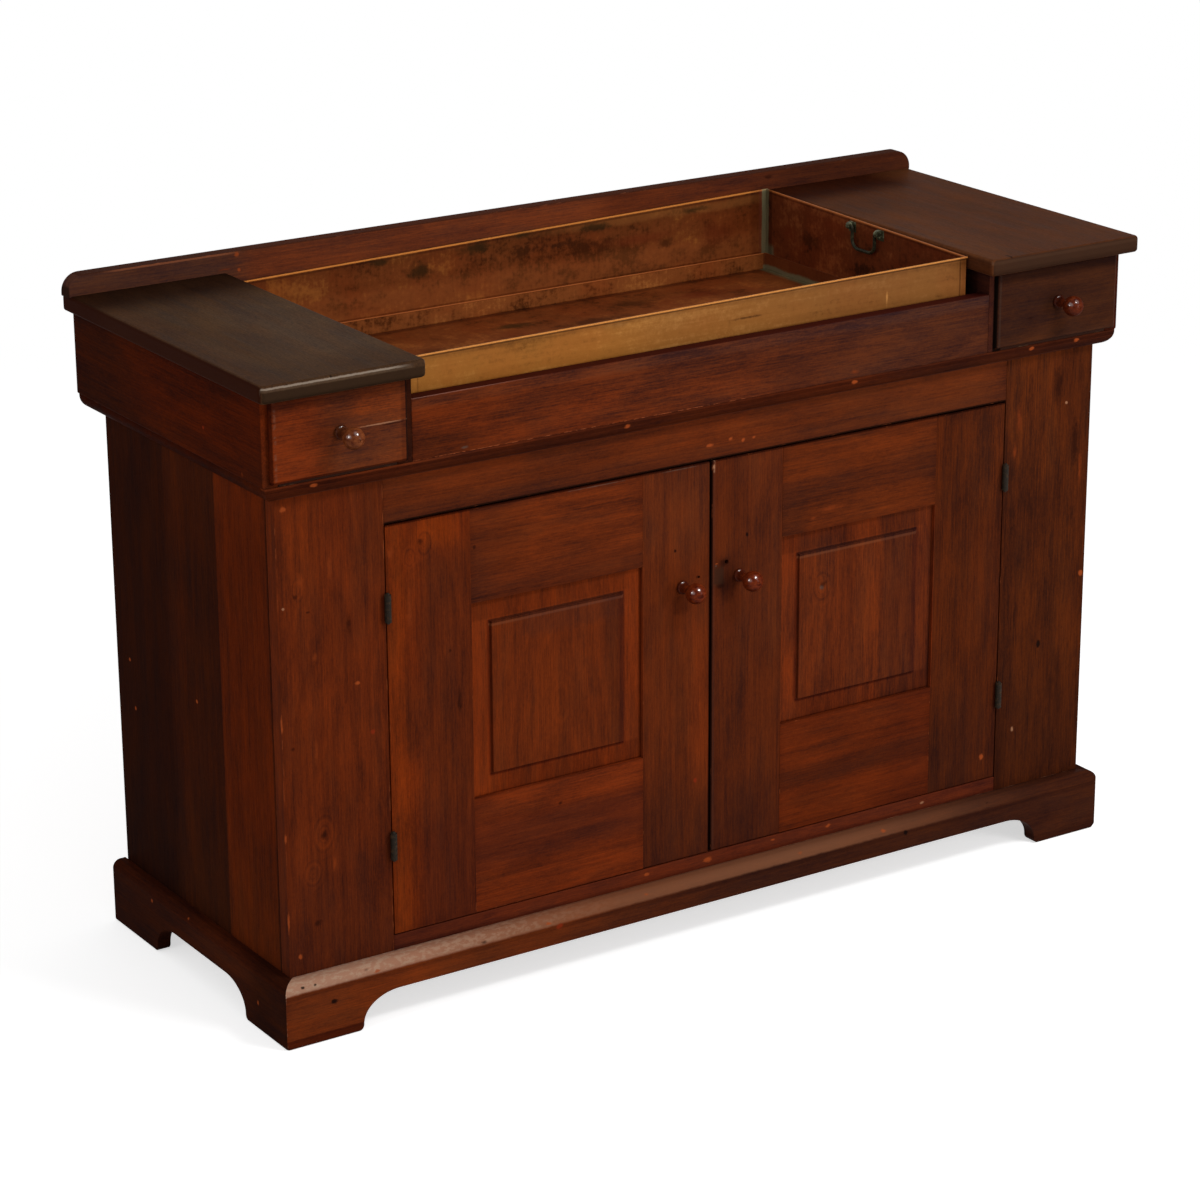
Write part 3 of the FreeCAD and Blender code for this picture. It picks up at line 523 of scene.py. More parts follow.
board("top_rail", {
    "tone": (91, 38, 15), "pith": (-20, 120), "seed": 4, "trim": 25,
    "marks": {
        "orange": ((-2, 702, 6, 3), (32, 706, 4, 3), (52, 701, 3, 3), (70, 702, 3, 2), (254, 675, 4, 2))}},
    tint((0.88, 1.0, 1.15), 1.0, x=(180, None, 320)),
    tint((0.76, 0.85, 1.1), 0.9, 2, z=(None, 703, 16)),
    # painted light at the top, where the box above shades the rail
    tint((1.25, 1.25, 1.3), 0.7, z=(738, None, 12)),
    # painted shade: the gap above the doors, black along the rail's lower edge
    paint((24, 11, 6), 0.92, 0.1, x=(-505, 505, 3), z=(None, 684.4, 1.6)))
board("bottom_rail", {
    "tone": (90, 37, 19), "pith": (0, 120), "seed": 5, "trim": 25,
    "marks": {
        "orange": ((-4, 102, 9, 4), (-104, 104, 5, 3), (205, 105, 5, 3), (109, 106, 5, 2)),
        "pale": ((373, 102, 4, 2),)}},
    tint((0.55, 0.5, 0.6), 0.6, 1, z=(None, 96, 5)),
    tint((0.72, 0.8, 1.0), 0.9, x=(None, -380, 120)))

# doors
# painted shade of the gap along the doors' top edge
doorTopGapShade = tint((0.3, 0.3, 0.4), 0.9, 0.1, z=(677.8, None, 2))
board("left_door_outer_stile", {
    "grain": "z", "tone": (98, 37, 12), "pith": (-34, 46), "seed": 6, "sway": 40, "rings": 0.16,
    "lines": 0.09,
    "knots": (((-446, 647), (24, 36), 0.24), ((-468, 631), (18, 26), 0.2)),
    "marks": {
        "light": ((-497, 642, 6, 12), (-470, 560, 5, 30)),
        "dark": ((-411, 493, 2.4, 3), (-452, 650, 4, 5), (-398, 420, 4, 18))}},
    doorTopGapShade,
    tint((0.72, 0.84, 1.15), 1.0, 6, x=(-458, None, 34), z=(None, 640, 60)),
    tint((1.3, 1.3, 1.0), 0.9, 5, x=(None, -478, 26)),
    tint((0.74, 0.78, 1.1), 0.9, 6, x=(-465, None, 40), z=(None, 270, 90)),
    tint((1.3, 1.3, 0.95), 0.8, 5, x=(-455, -400, 30), z=(640, None, 20)))
board("left_door_inner_stile", {
    "grain": "z", "tone": (85, 35, 14), "pith": (18, 80), "seed": 7,
    "marks": {
        "black": ((-58, 564, 2.5, 3),), "red": ((-24, 226, 3, 4),), "dark": ((-22, 520, 3, 3),),
        # the grey line along the top arris is a painted highlight
        "grey": ((-50, 677, 34, 0.8),)}},
    doorTopGapShade,
    tint((1.35, 1.25, 1.1), 0.9, 4, x=(-34, None, 20), z=(230, 440, 120)),
    tint((1.1, 1.2, 1.3), 0.9, z=(560, None, 80)),
    tint((0.74, 0.84, 1.1), 0.9, z=(None, 230, 120)),
    # painted shadow of the knob
    tint((0.5, 0.5, 0.65), 0.7, 4, x=(-62, -34, 12), z=(474, 500, 12)),
    # painted shade in the gap between the doors
    tint((0.25, 0.25, 0.3), 0.9, x=(-3.2, None, 1.5)),
    # painted light on the stile's shaded inner edge face
    tint((1.8, 1.6, 1.4), 0.9, x=(None, -109.6, 0.8), z=(277, 551, 4)))
board("left_door_top_rail", {
    "tone": (89, 36, 14), "pith": (10, 60), "sway": 36, "seed": 8, "trim": 7, "rings": 0.16, "lines": 0.09,
    # the grey line along the top arris is a painted highlight
    "marks": {"dark": ((-372, 627, 3, 3),), "grey": ((-180, 677, 50, 0.8),)}},
    doorTopGapShade,
    tint((1.22, 1.2, 1.1), 0.9, 4, x=(-300, None, 50), z=(590, None, 20)),
    tint((0.8, 0.9, 1.15), 0.9, 4, x=(None, -345, 50), z=(None, 650, 20)),
    tint((0.85, 0.9, 1.05), 0.8, 3, z=(None, 590, 16)))
board("left_door_bottom_rail", {
    "tone": (93, 36, 14), "pith": (-30, 70), "sway": 36, "seed": 9, "trim": 7, "rings": 0.14,
    "marks": {"dark": ((-244, 242, 4, 3),)}},
    tint((1.35, 1.3, 1.1), 0.9, 2, x=(-350, None, 40), z=(246, None, 12)),
    tint((0.74, 0.82, 1.15), 0.9, 4, z=(172, 236, 22)),
    tint((1.18, 1.15, 1.05), 0.9, 3, z=(None, 158, 20)))


def panelLayers(left, right, low, high, fieldLeft, fieldRight, fieldLow, fieldHigh):
    # painted shade lines in the corners of a fielded panel, a painted highlight along the field's top
    # edge, and its lighter sloped margins
    field = {"x": (fieldLeft - 3, fieldRight + 3, 2), "z": (fieldLow - 3, fieldHigh + 2, 2)}
    return (
        tint((1.38, 1.24, 1.05), 0.9, 0, True, **field),
        tint((0.7, 0.72, 0.8), 0.9, x=(left, right - 20, 20), z=(fieldHigh + 3, None, 5)),
        tint((0.72, 0.7, 0.75), 0.9, x=(fieldLeft, right, 30), z=(None, fieldLow - 2, 5)),
        tint((0.48, 0.36, 0.5), 0.7, 0.3, x=(fieldLeft - 5, fieldLeft + 0.5, 4), z=field["z"]),
        tint((0.62, 0.6, 0.9), 0.8, 0.4, x=(fieldRight - 6, fieldRight + 5, 4), z=field["z"]),
        tint((0.42, 0.52, 0.9), 0.85, 0.2, x=field["x"], z=(fieldHigh - 3, fieldHigh + 2, 1.6)),
        # painted highlight on the field's top edge
        paint((112, 62, 38), 0.42, 0.3, x=field["x"], z=(fieldHigh - 6.5, fieldHigh - 3, 2)),
        tint((0.5, 0.4, 0.55), 0.8, 0.3, x=field["x"], z=(fieldLow - 5, fieldLow - 1, 2.5)),
        tint((0.6, 0.55, 0.65), 0.5, 0.4, True, x=(left - 2, right - 1.5, 3),
              z=(low + 1, high - 2.5, 3)),
        tint((0.5, 0.42, 0.4), 0.7, 0.3, z=(None, low + 1.5, 2.5)))


panel = {"grain": "z", "rings": 0.14, "trim": 7, "edgeShadeAndGrime": 0.0, "wear": 0.0}
board("left_door_panel", {
    **panel, "tone": (97, 39, 14), "contrast": 1.0, "pith": (6, 34), "taper": 0.16, "lines": 0.1,
    "seed": 10, "knots": (((-240, 384), (30, 60), 0.1),)},
    *panelLayers(-377.7, -110.3, 277, 551, -346.7, -141.3, 308, 520),
    tint((1.12, 1.12, 1.05), 0.8, 6, x=(-290, -190, 60), z=(340, 460, 80)),
    tint((0.66, 0.75, 1.0), 0.9, 4, x=(-170, -142, 28), z=(308, 520, 6)),
    tint((0.78, 0.9, 1.25), 0.9, 4, x=(-300, -142, 40), z=(488, 520, 16)),
    arris=0.8)
board("right_door_inner_stile", {
    "grain": "z", "tone": (77, 32, 14), "pith": (-14, 70), "seed": 11,
    "marks": {
        "pale": ((5, 671, 2.2, 3.5),), "dark": ((23, 533, 9, 8), (16, 500, 8, 4)),
        "grey": ((9, 530, 2, 1.6),), "orange": ((10, 533, 2.4, 1.2),), "black": ((60, 566, 2.5, 3),)}},
    doorTopGapShade,
    tint((1.15, 1.2, 1.2), 0.8, 4, x=(60, None, 40), z=(400, None, 120)),
    tint((0.74, 0.82, 1.05), 0.9, z=(None, 200, 110)),
    # painted shade in the gap between the doors
    paint((26, 11, 7), 0.92, 0.1, x=(None, 3.6, 1)),
    paint((72, 44, 34), 0.25, 0.3, x=(4, 7, 1.5)),
    scuff((170, 122, 92), 0.5, 0.2, x=(4, 6.5, 1.5), z=(658, None, 10)),
    tint((0.6, 0.66, 0.9), 0.8, 3, x=(6, 40, 14), z=(490, 540, 20)),
    # painted shadow of the knob
    tint((0.5, 0.5, 0.65), 0.7, 4, x=(14, 40, 14), z=(476, 508, 14)),
    paint((46, 32, 23), 0.6, 2, x=(4, 22, 8), z=(502, 528, 10)))
board("right_door_outer_stile", {
    "grain": "z", "tone": (75, 31, 12), "contrast": 1.35, "pith": (30, 70), "seed": 12,
    "marks": {"orange": ((480, 149, 4, 5),)}},
    doorTopGapShade,
    tint((1.2, 1.25, 1.2), 0.9, 5, x=(440, None, 50), z=(520, None, 80)),
    tint((0.84, 0.9, 1.1), 0.7, 5, x=(455, None, 50), z=(None, 500, 60)),
    tint((0.74, 0.84, 1.1), 0.9, 3, x=(None, 462, 24), z=(None, 230, 100)),
    # painted light on the stile's shaded inner edge face
    tint((2.2, 1.8, 1.6), 0.9, x=(None, 383.4, 0.8), z=(277, 551, 4)))
board("right_door_top_rail", {
    "tone": (89, 37, 14), "pith": (0, 50), "sway": 40, "seed": 13, "trim": 7, "rings": 0.18, "lines": 0.1,
    "marks": {"light": ((171, 569, 6, 3), (200, 578, 30, 5))}},
    doorTopGapShade,
    tint((0.76, 0.82, 1.05), 0.9, 4, z=(594, 628, 14)),
    tint((0.76, 0.84, 1.05), 0.9, 4, x=(None, 158, 24), z=(None, 625, 20)))
board("right_door_bottom_rail", {
    "tone": (89, 34, 12), "pith": (20, 60), "sway": 40, "seed": 14, "trim": 7},
    tint((0.64, 0.75, 1.05), 0.9, 4, z=(176, 208, 16)),
    tint((0.8, 0.8, 0.95), 0.9, 4, x=(300, None, 60)))
board("right_door_panel", {
    **panel, "tone": (85, 35, 15), "contrast": 1.4, "pith": (-20, 36), "taper": 0.14, "lines": 0.08,
    "seed": 15, "knots": (((189, 465), (24, 34), 0.3),),
    "marks": {"grey": ((188, 465, 4, 4),), "dark": ((191, 470, 7, 5),)}},
    *panelLayers(119.1, 382.7, 277, 551, 150.1, 351.7, 308, 520),
    tint((0.72, 0.84, 1.1), 0.8, 3, x=(292, None, 16)),
    tint((1.2, 1.2, 1.1), 0.8, 4, x=(246, 290, 14)),
    tint((1.2, 1.2, 1.1), 0.8, 6, x=(150, 222, 30), z=(340, 520, 60)),
    tint((0.7, 0.85, 1.2), 0.8, 4, x=(150, 230, 40), z=(516, 540, 14)),
    arris=0.8)

# case ends, inside and back
endBoard = {"face": "x", "gloss": 0.001}
levelBoard = {**endBoard, "grain": "y"}
board("left_side", {
    **endBoard, "grain": "z", "tone": (54, 21, 8), "pith": (60, 120), "sway": 40, "seed": 16,
    "edgeShadeAndGrime": 0.1,
    "marks": {"orange": ((220, 400, 3, 3), (21, 401, 3, 3), (209, 332, 3, 3))}},
    tint((0.6, 0.66, 0.85), 1.0, 1.5, y=(92, None, 24)),
    tint((1.15, 1.1, 1.0), 0.8, 3, y=(44, 68, 10)),
    tint((2.5, 1.8, 1.05), 1.0, 1.2, y=(-189, -52, 5)),
    tint((0.82, 1.05, 1.3), 0.8, z=(None, 220, 220)),
    # painted light at the top, where the box above shades the side
    tint((1.25, 1.25, 1.2), 0.9, z=(690, None, 90)))
board("right_side", {**endBoard, "grain": "z", "tone": (66, 27, 14), "pith": (40, 120), "seed": 17})
inner = {
    "tone": (126, 88, 56), "contrast": 0.8, "wearTone": (150, 116, 84), "wear": 0.3, "roughness": 0.7,
    "brownTint": (0.85, 0.86, 0.9), "gloss": 0.1}
innerBoards = {
    "back_boards": {"grain": "z", "ring": 9, "rings": 0.2, "tone": (112, 76, 50)},
    "case_floor": {"face": "z"},
    "shelf": {"face": "z"},
    "shelf_cleats": {"grain": "y", "face": "x"},
    "door_stop": {},
    "foot_blocks": {"grain": "z"},
}
for number, (name, look) in enumerate(innerBoards.items()):
    board(name, {**inner, **look, "seed": 18 + number})

# bracket base
board("base_front", {
    "tone": (98, 42, 17), "pith": (0, 70), "sway": 30, "seed": 24, "rings": 0.16, "lines": 0.08,
    "wear": 0.6, "wearTone": (150, 104, 80),
    "marks": {
        "pale": ((-616, 90, 3, 3), (-311, 90, 4, 3)),
        "black": ((-655, 85, 3, 2), (-637, 84, 3, 2), (475, 88, 4, 4), (327, 74, 4, 4), (-610, 54, 5, 4)),
        "dark": ((-560, 86, 4, 2), (-380, 80, 5, 3)),
        "orange": ((-119, 88, 5, 4), (-278, 82, 5, 3), (377, 90, 5, 4), (287, 86, 5, 4), (141, 88, 5, 4),
                   (-545, 81, 5, 3)), "red": ((-261, 74, 6, 4),)}},
    tint((0.42, 0.36, 0.5), 0.95, 0.6, x=(None, -540, 6), z=(None, 13.5, 2)),
    tint((0.74, 0.8, 0.95), 0.9, 6, x=(-450, None, 90)),
    tint((0.46, 0.6, 0.95), 1.0, 6, x=(-120, None, 340)),
    tint((0.7, 0.7, 0.8), 0.8, 2, z=(None, 14, 4), x=(540, None, 6)),
    # painted highlight on the top rounding, fading to the right; the scuff breaks it as wear does
    paint((152, 98, 68), 0.42, 0.6, z=(77.5, None, 4), x=(None, 370, 500)),
    paint((168, 127, 104), 0.8, 0.6, z=(77.5, None, 4), x=(None, -430, 500)),
    scuff((176, 152, 128), 0.4, 1.2, z=(80, None, 4), x=(None, -360, 500)),
    tint((0.75, 0.75, 0.8), 0.8, 0.5, z=(70, 76, 3)),
    tint((0.5, 0.5, 0.55), 0.6, y=(-219, None, 3)),
    scuff((206, 186, 166), 0.6, 0.2, x=(None, -679.5, 1), z=(74, 94, 6)))
board("base_ends", {
    **levelBoard, "tone": (59, 25, 12), "pith": (0, 80), "seed": 25,
    "marks": {"orange": ((39, 87, 3, 3), (146, 73, 3, 3), (-160, 40, 3, 4))}},
    tint((0.72, 0.78, 0.9), 0.9, y=(80, None, 140)),
    tint((0.55, 0.62, 0.72), 0.9, 4, y=(None, -130, 90)),
    tint((1.3, 1.3, 1.2), 0.8, 3, y=(-150, 30, 60), z=(58, 76, 12)),
    tint((1.15, 1.0, 0.9), 0.8, 1, z=(79, None, 5)))

# sink box
board("box_left_side", {
    **levelBoard, "tone": (69, 23, 7), "contrast": 1.35, "pith": (20, 90), "seed": 26, "edgeShadeAndGrime": 0.1,
    "wear": 0.0,
    "marks": {"red": ((-80, 807, 3, 3),), "light": ((-182, 771, 3, 3),)}},
    tint((0.62, 0.85, 1.2), 0.9, 6, y=(110, None, 180)),
    tint((0.78, 0.9, 1.1), 0.9, 6, z=(None, 792, 24)),
    tint((0.7, 0.8, 0.9), 0.7, 0.4, z=(None, 766.5, 2)),
    tint((1.7, 1.8, 1.6), 1.0, y=(None, -234.6, 0.6)))
board("box_right_side", {**levelBoard, "tone": (62, 25, 13), "seed": 27})
board("box_moulding", {
    "tone": (63, 25, 11), "seed": 28, "wear": 0.1, "edgeShadeAndGrime": 0.0, "gloss": 0.001,
    "marks": {
        "orange": ((-614, 758, 6, 3), (-147, 757, 5, 3), (223, 759, 6, 3), (532, 759, 5, 3),
                   (614, 759, 5, 3), (626, 748, 5, 3))}},
    # painted light on the upper moulding
    tint((1.3, 1.25, 1.15), 0.9, 0.5, z=(756, None, 3)),
    tint((0.6, 0.6, 0.65), 0.9, y=(None, -224, 4), z=(757, 762, 2)),
    # painted highlight along its front top edge, at the left
    tint((1.6, 1.6, 1.5), 0.9, 0.5, x=(None, -300, 400), y=(None, -224, 4), z=(761.5, None, 2)),
    # painted light on the underside
    tint((1.4, 1.8, 2.3), 0.8, 0.4, x=(-662, None, 2), z=(None, 747, 3)),
    tint((0.68, 0.6, 0.5), 1.0, x=(None, -662, 2), y=(-226, None, 5)),
    tint((0.8, 0.95, 1.2), 0.8, x=(300, None, 300)),
    tint((0.6, 0.5, 0.52), 0.8, 3, y=(-110, None, 40)),
    arris=0)
board("box_back", {**inner, "seed": 29})
board("left_divider", {**levelBoard, "tone": (50, 22, 12), "seed": 30})
board("right_divider", {
    **levelBoard, "tone": (62, 30, 20), "seed": 31},
    # painted shade in the gap beside the drawer
    paint((14, 9, 7), 0.9, x=(461, None, 1), y=(None, -232, 1)))
board("well_front", {
    "tone": (76, 34, 18), "contrast": 1.6, "pith": (10, 50), "sway": 40, "seed": 32, "rings": 0.16,
    "lines": 0.1, "wearTone": (120, 72, 52),
    "marks": {"light": ((223, 774, 8, 4),), "grey": ((-395, 771, 6, 2),)}},
    tint((1.4, 1.1, 0.75), 1.0, x=(None, -230, 380)),
    tint((1.35, 1.2, 0.95), 0.9, 6, x=(-240, 70, 100), z=(None, 818, 24)),
    tint((0.78, 0.98, 1.25), 1.0, x=(180, None, 360)),
    tint((0.66, 0.72, 0.85), 0.8, 4, x=(None, -380, 60), z=(None, 796, 20)),
    tint((1.1, 1.3, 1.5), 0.9, 2, z=(832, None, 8)),
    # painted shade on the top face, and a painted highlight along its front arris
    paint((52, 14, 9), 0.9, y=(-234.2, None, 0.8), z=(847, None, 0.5)),
    paint((128, 94, 84), 0.6, 0.2, x=(None, -330, 160), y=(None, -234.2, 0.8), z=(846.2, None, 0.6)),
    scuff((168, 88, 52), 0.6, 0.2, x=(-470, 60, 120), y=(None, -234.6, 0.6), z=(None, 766, 1)))
board("box_floors", {
    **inner, "face": "z", "seed": 33},
    paint((40, 17, 9), 1.0, y=(None, -222, 4)))

# tops and gallery
topBoard = {
    "grain": "y", "face": "z", "roughness": 0.42, "gloss": 0.002, "wear": 0.25, "edgeShadeAndGrime": 0.0,
    "lines": 0.0, "rings": 0.03, "blotches": 0.45, "fineStreaks": 0.2}
board("left_top", {
    **topBoard, "tone": (66, 47, 34), "contrast": 1.25, "seed": 34, "pith": (0, 120),
    "wearTone": (112, 90, 74), "clouds": 0.15, "streaks": 0.12, "speckle": 0.5,
    "browns": 0.6, "brownTint": (0.95, 0.85, 0.8), "darkTint": (0.5, 0.5, 0.56),
    "marks": {"black": ((-600, -263, 2, 3),)}},
    # painted sheen in the middle of the top
    tint((1.25, 1.4, 1.6), 0.9, 8, x=(-580, None, 80), y=(-180, 110, 100)),
    tint((1.02, 0.92, 0.88), 0.9, 8, x=(None, -660, 30)),
    # painted reflection of the gallery, dark along the back
    tint((0.32, 0.25, 0.25), 0.95, 3, y=(172, None, 84)),
    paint((44, 17, 9), 0.9, x=(None, -697, 2)),
    paint((48, 33, 22), 0.9, 0.4, y=(None, -261.5, 1.5), z=(None, 896, 3)),
    # painted shade on the lower front edge
    tint((0.7, 0.7, 0.7), 0.8, 0.4, y=(None, -261.5, 1.5), z=(None, 886, 4)),
    # painted highlights along the front arris and at the left corner
    paint((96, 80, 64), 0.3, 0.3, x=(None, -484, 8), y=(None, -259, 2), z=(896, 899, 2)),
    paint((150, 134, 118), 0.7, 0.5, x=(None, -500, 40), y=(None, -260, 1.5), z=(899, 901.5, 1.2)),
    paint((134, 116, 104), 0.6, 0.4, x=(None, -698, 1.5), y=(None, -260, 3), z=(892, None, 4)),
    paint((110, 84, 64), 0.6, 0.3, x=(-467, None, 2), y=(None, -225, 12), z=(898, None, 2)),
    arris=1.0)
board("right_top", {
    **topBoard, "tone": (75, 42, 25), "contrast": 1.1, "seed": 35, "pith": (20, 120),
    "wearTone": (104, 66, 48), "clouds": 0.2, "streaks": 0.14, "speckle": 0.4,
    "darkTint": (0.5, 0.48, 0.52),
    "marks": {"black": ((470, -255, 2, 9),)}},
    # painted sheen on the top
    tint((1.22, 1.25, 1.2), 0.9, 8, x=(None, 505, 50), y=(-260, 60, 100)),
    # painted reflection of the gallery, dark along the back
    tint((0.32, 0.22, 0.24), 0.95, 3, x=(None, 640, 80), y=(176, None, 70)),
    paint((52, 34, 24), 0.9, 0.3, y=(None, -261.5, 1.5)),
    # painted shade on the lower front edge
    tint((0.75, 0.72, 0.72), 0.8, 0.3, y=(None, -261.5, 1.5), z=(None, 888, 4)),
    # painted highlights along the front arris and at the left corner
    tint((1.35, 1.4, 1.4), 0.7, 0.3, y=(None, -260, 2), z=(897, 901, 2)),
    paint((96, 78, 62), 0.35, 0.6, x=(None, 438, 3), y=(None, -259, 3), z=(897, None, 3)),
    tint((0.7, 0.6, 0.6), 0.7, 0.4, x=(None, 436.5, 1), z=(None, 900, 4)),
    arris=1.0)
board("gallery", {
    "tone": (99, 48, 26), "seed": 36, "pith": (0, 90), "gloss": 0.001, "wear": 0.25,
    "wearTone": (150, 84, 56), "edgeShadeAndGrime": 0.15,
    "marks": {
        "orange": ((-449, 928, 4, 4), (-447, 906, 3, 3)), "dark": ((437, 923, 9, 3),),
        "light": ((-468, 909, 12, 2), (-482, 902, 8, 2))}},
    tint((0.62, 0.95, 1.5), 0.9, 4, x=(None, -440, 60)),
    tint((1.15, 1.15, 1.15), 0.8, 4, x=(-430, 130, 100)),
    tint((0.5, 0.58, 0.75), 0.95, 4, x=(420, None, 200)),
    tint((0.85, 0.8, 0.8), 0.8, 4, x=(140, None, 60)),
    paint((30, 18, 12), 0.8, x=(None, -699.5, 2)),
    paint((58, 30, 20), 0.8, z=(930.5, None, 1)),
    # painted highlight along the top front arris at the left
    paint((140, 82, 54), 0.6, 0.1, y=(None, 270.4, 1), z=(929, 931.5, 1), x=(-640, -452, 40)),
    arris=1.0)

# drawers
# painted shade on the drawer fronts under the overhanging top
shadeUnderTop = tint((0.6, 0.64, 0.8), 0.85, z=(863, None, 10))
drawers = {
    "left": {
        "tone": (98, 45, 21), "contrast": 1.5, "seed": 37,
        "layers": (
            # painted shade in the gap at the lip's left edge, then a painted highlight on the lip's
            # rounding
            tint((0.35, 0.3, 0.35), 0.85, 0.1, x=(None, -674, 1.5)),
            scuff((104, 74, 60), 0.5, 0.3, x=(-672.5, -669, 2)),
            # painted shade in the gap at the right edge and along the bottom
            tint((0.7, 0.66, 0.72), 0.7, 0.2, x=(-492, None, 3)),
            paint((18, 10, 8), 0.9, 0.1, x=(-485.5, None, 1.5)),
            tint((0.35, 0.3, 0.35), 0.85, 0.1, z=(None, 773.5, 2)),
            tint((1.12, 0.82, 0.66), 0.9, 4, x=(None, -604, 50)),
            tint((0.94, 1.02, 1.15), 0.9, 4, x=(-585, -495, 40), z=(None, 845, 20)),
            tint((1.4, 1.2, 0.9), 0.8, 4, x=(-560, -492, 30), z=(835, None, 20)),
            shadeUnderTop),
        "marks": {"pale": ((-521, 825, 36, 1.1),), "dark": ((-505, 822.5, 24, 1.0),)}},
    "right": {
        "tone": (56, 29, 17), "seed": 42,
        "layers": (
            # painted shade in the gap at the left edge, then a painted highlight on the lip's rounding; a
            # painted highlight on the right lip
            paint((14, 9, 7), 0.92, 0.1, x=(None, 463.6, 1)),
            paint((62, 46, 38), 0.35, 0.3, x=(465, 468, 1.5)),
            paint((78, 52, 38), 0.4, 0.3, x=(673, None, 2)),
            # painted shade in the gap along the bottom, with a painted highlight on the lip above it
            tint((0.4, 0.38, 0.4), 0.8, 0.1, z=(None, 771.5, 1.5)),
            tint((1.15, 1.2, 1.25), 0.6, 0.3, z=(772.5, 776, 2)),
            shadeUnderTop),
        "marks": {"dark": ((522, 806, 5, 3),)}},
}
for side, look in drawers.items():
    board(side + "_drawer_front", {
        **look, "pith": (8, 60), "sway": 30, "rings": 0.2, "lines": 0.1, "wear": 0.1, "edgeShadeAndGrime": 0.1},
        *look["layers"])
    board(side + "_drawer_box", {**inner, "grain": "y", "face": "x", "seed": look["seed"] + 1}, arris=0)
    board(side + "_drawer_bottom", {**inner, "face": "z", "seed": look["seed"] + 2})
print("boards finished")


# turned knobs, polished
knobLook = {
    "grain": "x",
    "face": "y",
    "streaks": (3, 12, 1),   # noises as in grainNoises
    "mottle": (7, 7, 2, 3.0),
    "figure": (1.6, 1.4),    # how far streaks and mottle stand apart
    "shade": (0.7, 0.6, 0.6),
    "dark": (30, 9, 6),      # the tone of the painted shade on the sides behind and below
    "behind": (0.6, 0, 8),   # how much of it, and from where to where in mm off the middle
    "below": (0.7, -4, -14),
    "roughness": 0.4,
    "dulled": 0.2,
    "relief": 0.1,           # mm
    "gloss": 0.006,
    "coat": 0.03,
    "coatEdge": (0.6, 0.3),  # none at the silhouette
    "coatRoughness": 0.14,
    "coatIOR": 1.9,
    "polish": ((-2.3, 8.7), (-10.9, 5.6)),       # bright spots, in mm off the middle
    "polishSize": (3.4, 3.4),
    "polishCore": 0.3,
}
knobs = {                    # darker and lighter tone of the wood
    "left_drawer_knob": ((88, 38, 17), (124, 66, 34)),
    "right_drawer_knob": ((62, 18, 7), (96, 38, 16)),
    "left_door_knob": ((76, 23, 8), (118, 46, 17)),
    "right_door_knob": ((76, 23, 8), (116, 45, 17)),
}


def knobMaterial(name, look, tones, seed):
    surface = Surface(name + "_polish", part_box(name), {**look, "seed": seed})
    streaks = surface.grainNoise(*look["streaks"])
    mottle = surface.grainNoise(*look["mottle"])
    darker, lighter = (screen(*tone) for tone in tones)
    byStreaks, byMottle = look["figure"]
    colour = blend(0.5 + streaks * byStreaks + mottle * byMottle, tinted(darker, look["shade"]), lighter)
    # painted shade on the knob's back and underside
    for side, number in (("behind", 1), ("below", 2)):
        amount, near, far = look[side]
        shadow = ease(surface.fromMiddle(number), near * mm, far * mm) * amount
        colour = blend(shadow, colour, screen(*look["dark"]))
    facing = surface.tree.node("ShaderNodeLayerWeight", {}, output="Facing")
    coat = ease(facing, *look["coatEdge"]) * look["coat"]
    for across, above in look["polish"]:
        place = (surface.middle[0] / mm + across, surface.middle[2] / mm + above)
        coat = coat.most(ease(surface.oval(place, look["polishSize"]), 1.0, look["polishCore"]))
    dull = look["roughness"] + mottle * look["dulled"]
    return surface.finish(colour, dull, streaks, look["relief"], look["gloss"], **{
        "Coat Weight": coat, "Coat Roughness": look["coatRoughness"], "Coat IOR": look["coatIOR"]})


for number, (name, tones) in enumerate(knobs.items()):
    setMaterial(nodes[name], knobMaterial(name, knobLook, tones, 50 + number))
print("knobs finished")


# copper tray
plainCopper = {
    "grain": "x", "face": "y",
    "tones": ((58, 27, 9), (110, 60, 24), (134, 80, 34)),
    "spread": 1.0,           # how far the mottling stands apart
    "metallic": 0.25,
    "roughness": 0.5,
    "gloss": 0.05,
    "strokes": 0.25,         # fine strokes, upright as a rule
    "strokeScale": (260, 260, 18),     # all scales are in 1/m
    "cloudScale": (6, 6, 9),
    "stains": 0.7,
    "stainScale": (22, 22, 34),
    "specks": 0.55,
    "speckScale": (150, 150, 150),
    "redness": 0.7,
    "redScale": (10, 10, 10),
    "redTint": (1.0, 0.82, 0.75, 1.0),
    "buckle": 3,             # how far the sheet is bent out of true
    "buckleScale": (7, 7, 7),
    "rim": None,             # heights of the rim at the wall's two ends
    "marks": {},
    "seed": 1,
}

copperMarks = {
    "olive": ((44, 30, 10), 0.8, 0.1),
    "dark": ((52, 24, 8), 0.7, 0.1),
    "green": ((86, 86, 62), 0.6, 0.1),
    "bright": ((186, 128, 66), 0.7, 0.1),
    "red": ((104, 42, 18), 0.6, 0.1),
}

copperNoises = {             # the way the seed shifts it, detail, roughness
    "cloud": ((1, 0, 0), 3, 0.55),
    "stain": ((0, 1, 0), 5, 0.66),
    "speck": ((0, 0, 1), 4, 0.7),
    "stroke": ((1, 0, 0), 3, 0.6),
    "red": ((0, 0, 1), 4, 0.6),
    "buckle": ((1, 1, 0), 1, 0.4),
}
copperForm = {
    "darkEdge": (-0.3, 0.0),
    "lightEdge": (0.0, 0.3),
    "redEdge": (0.45, 0.65),
    "frayBySpecks": 0.6,
    "markFray": 2,
    "dulled": 0.3,           # both by stains
    "raised": 0.25,
    "relief": 1.2,           # mm
}


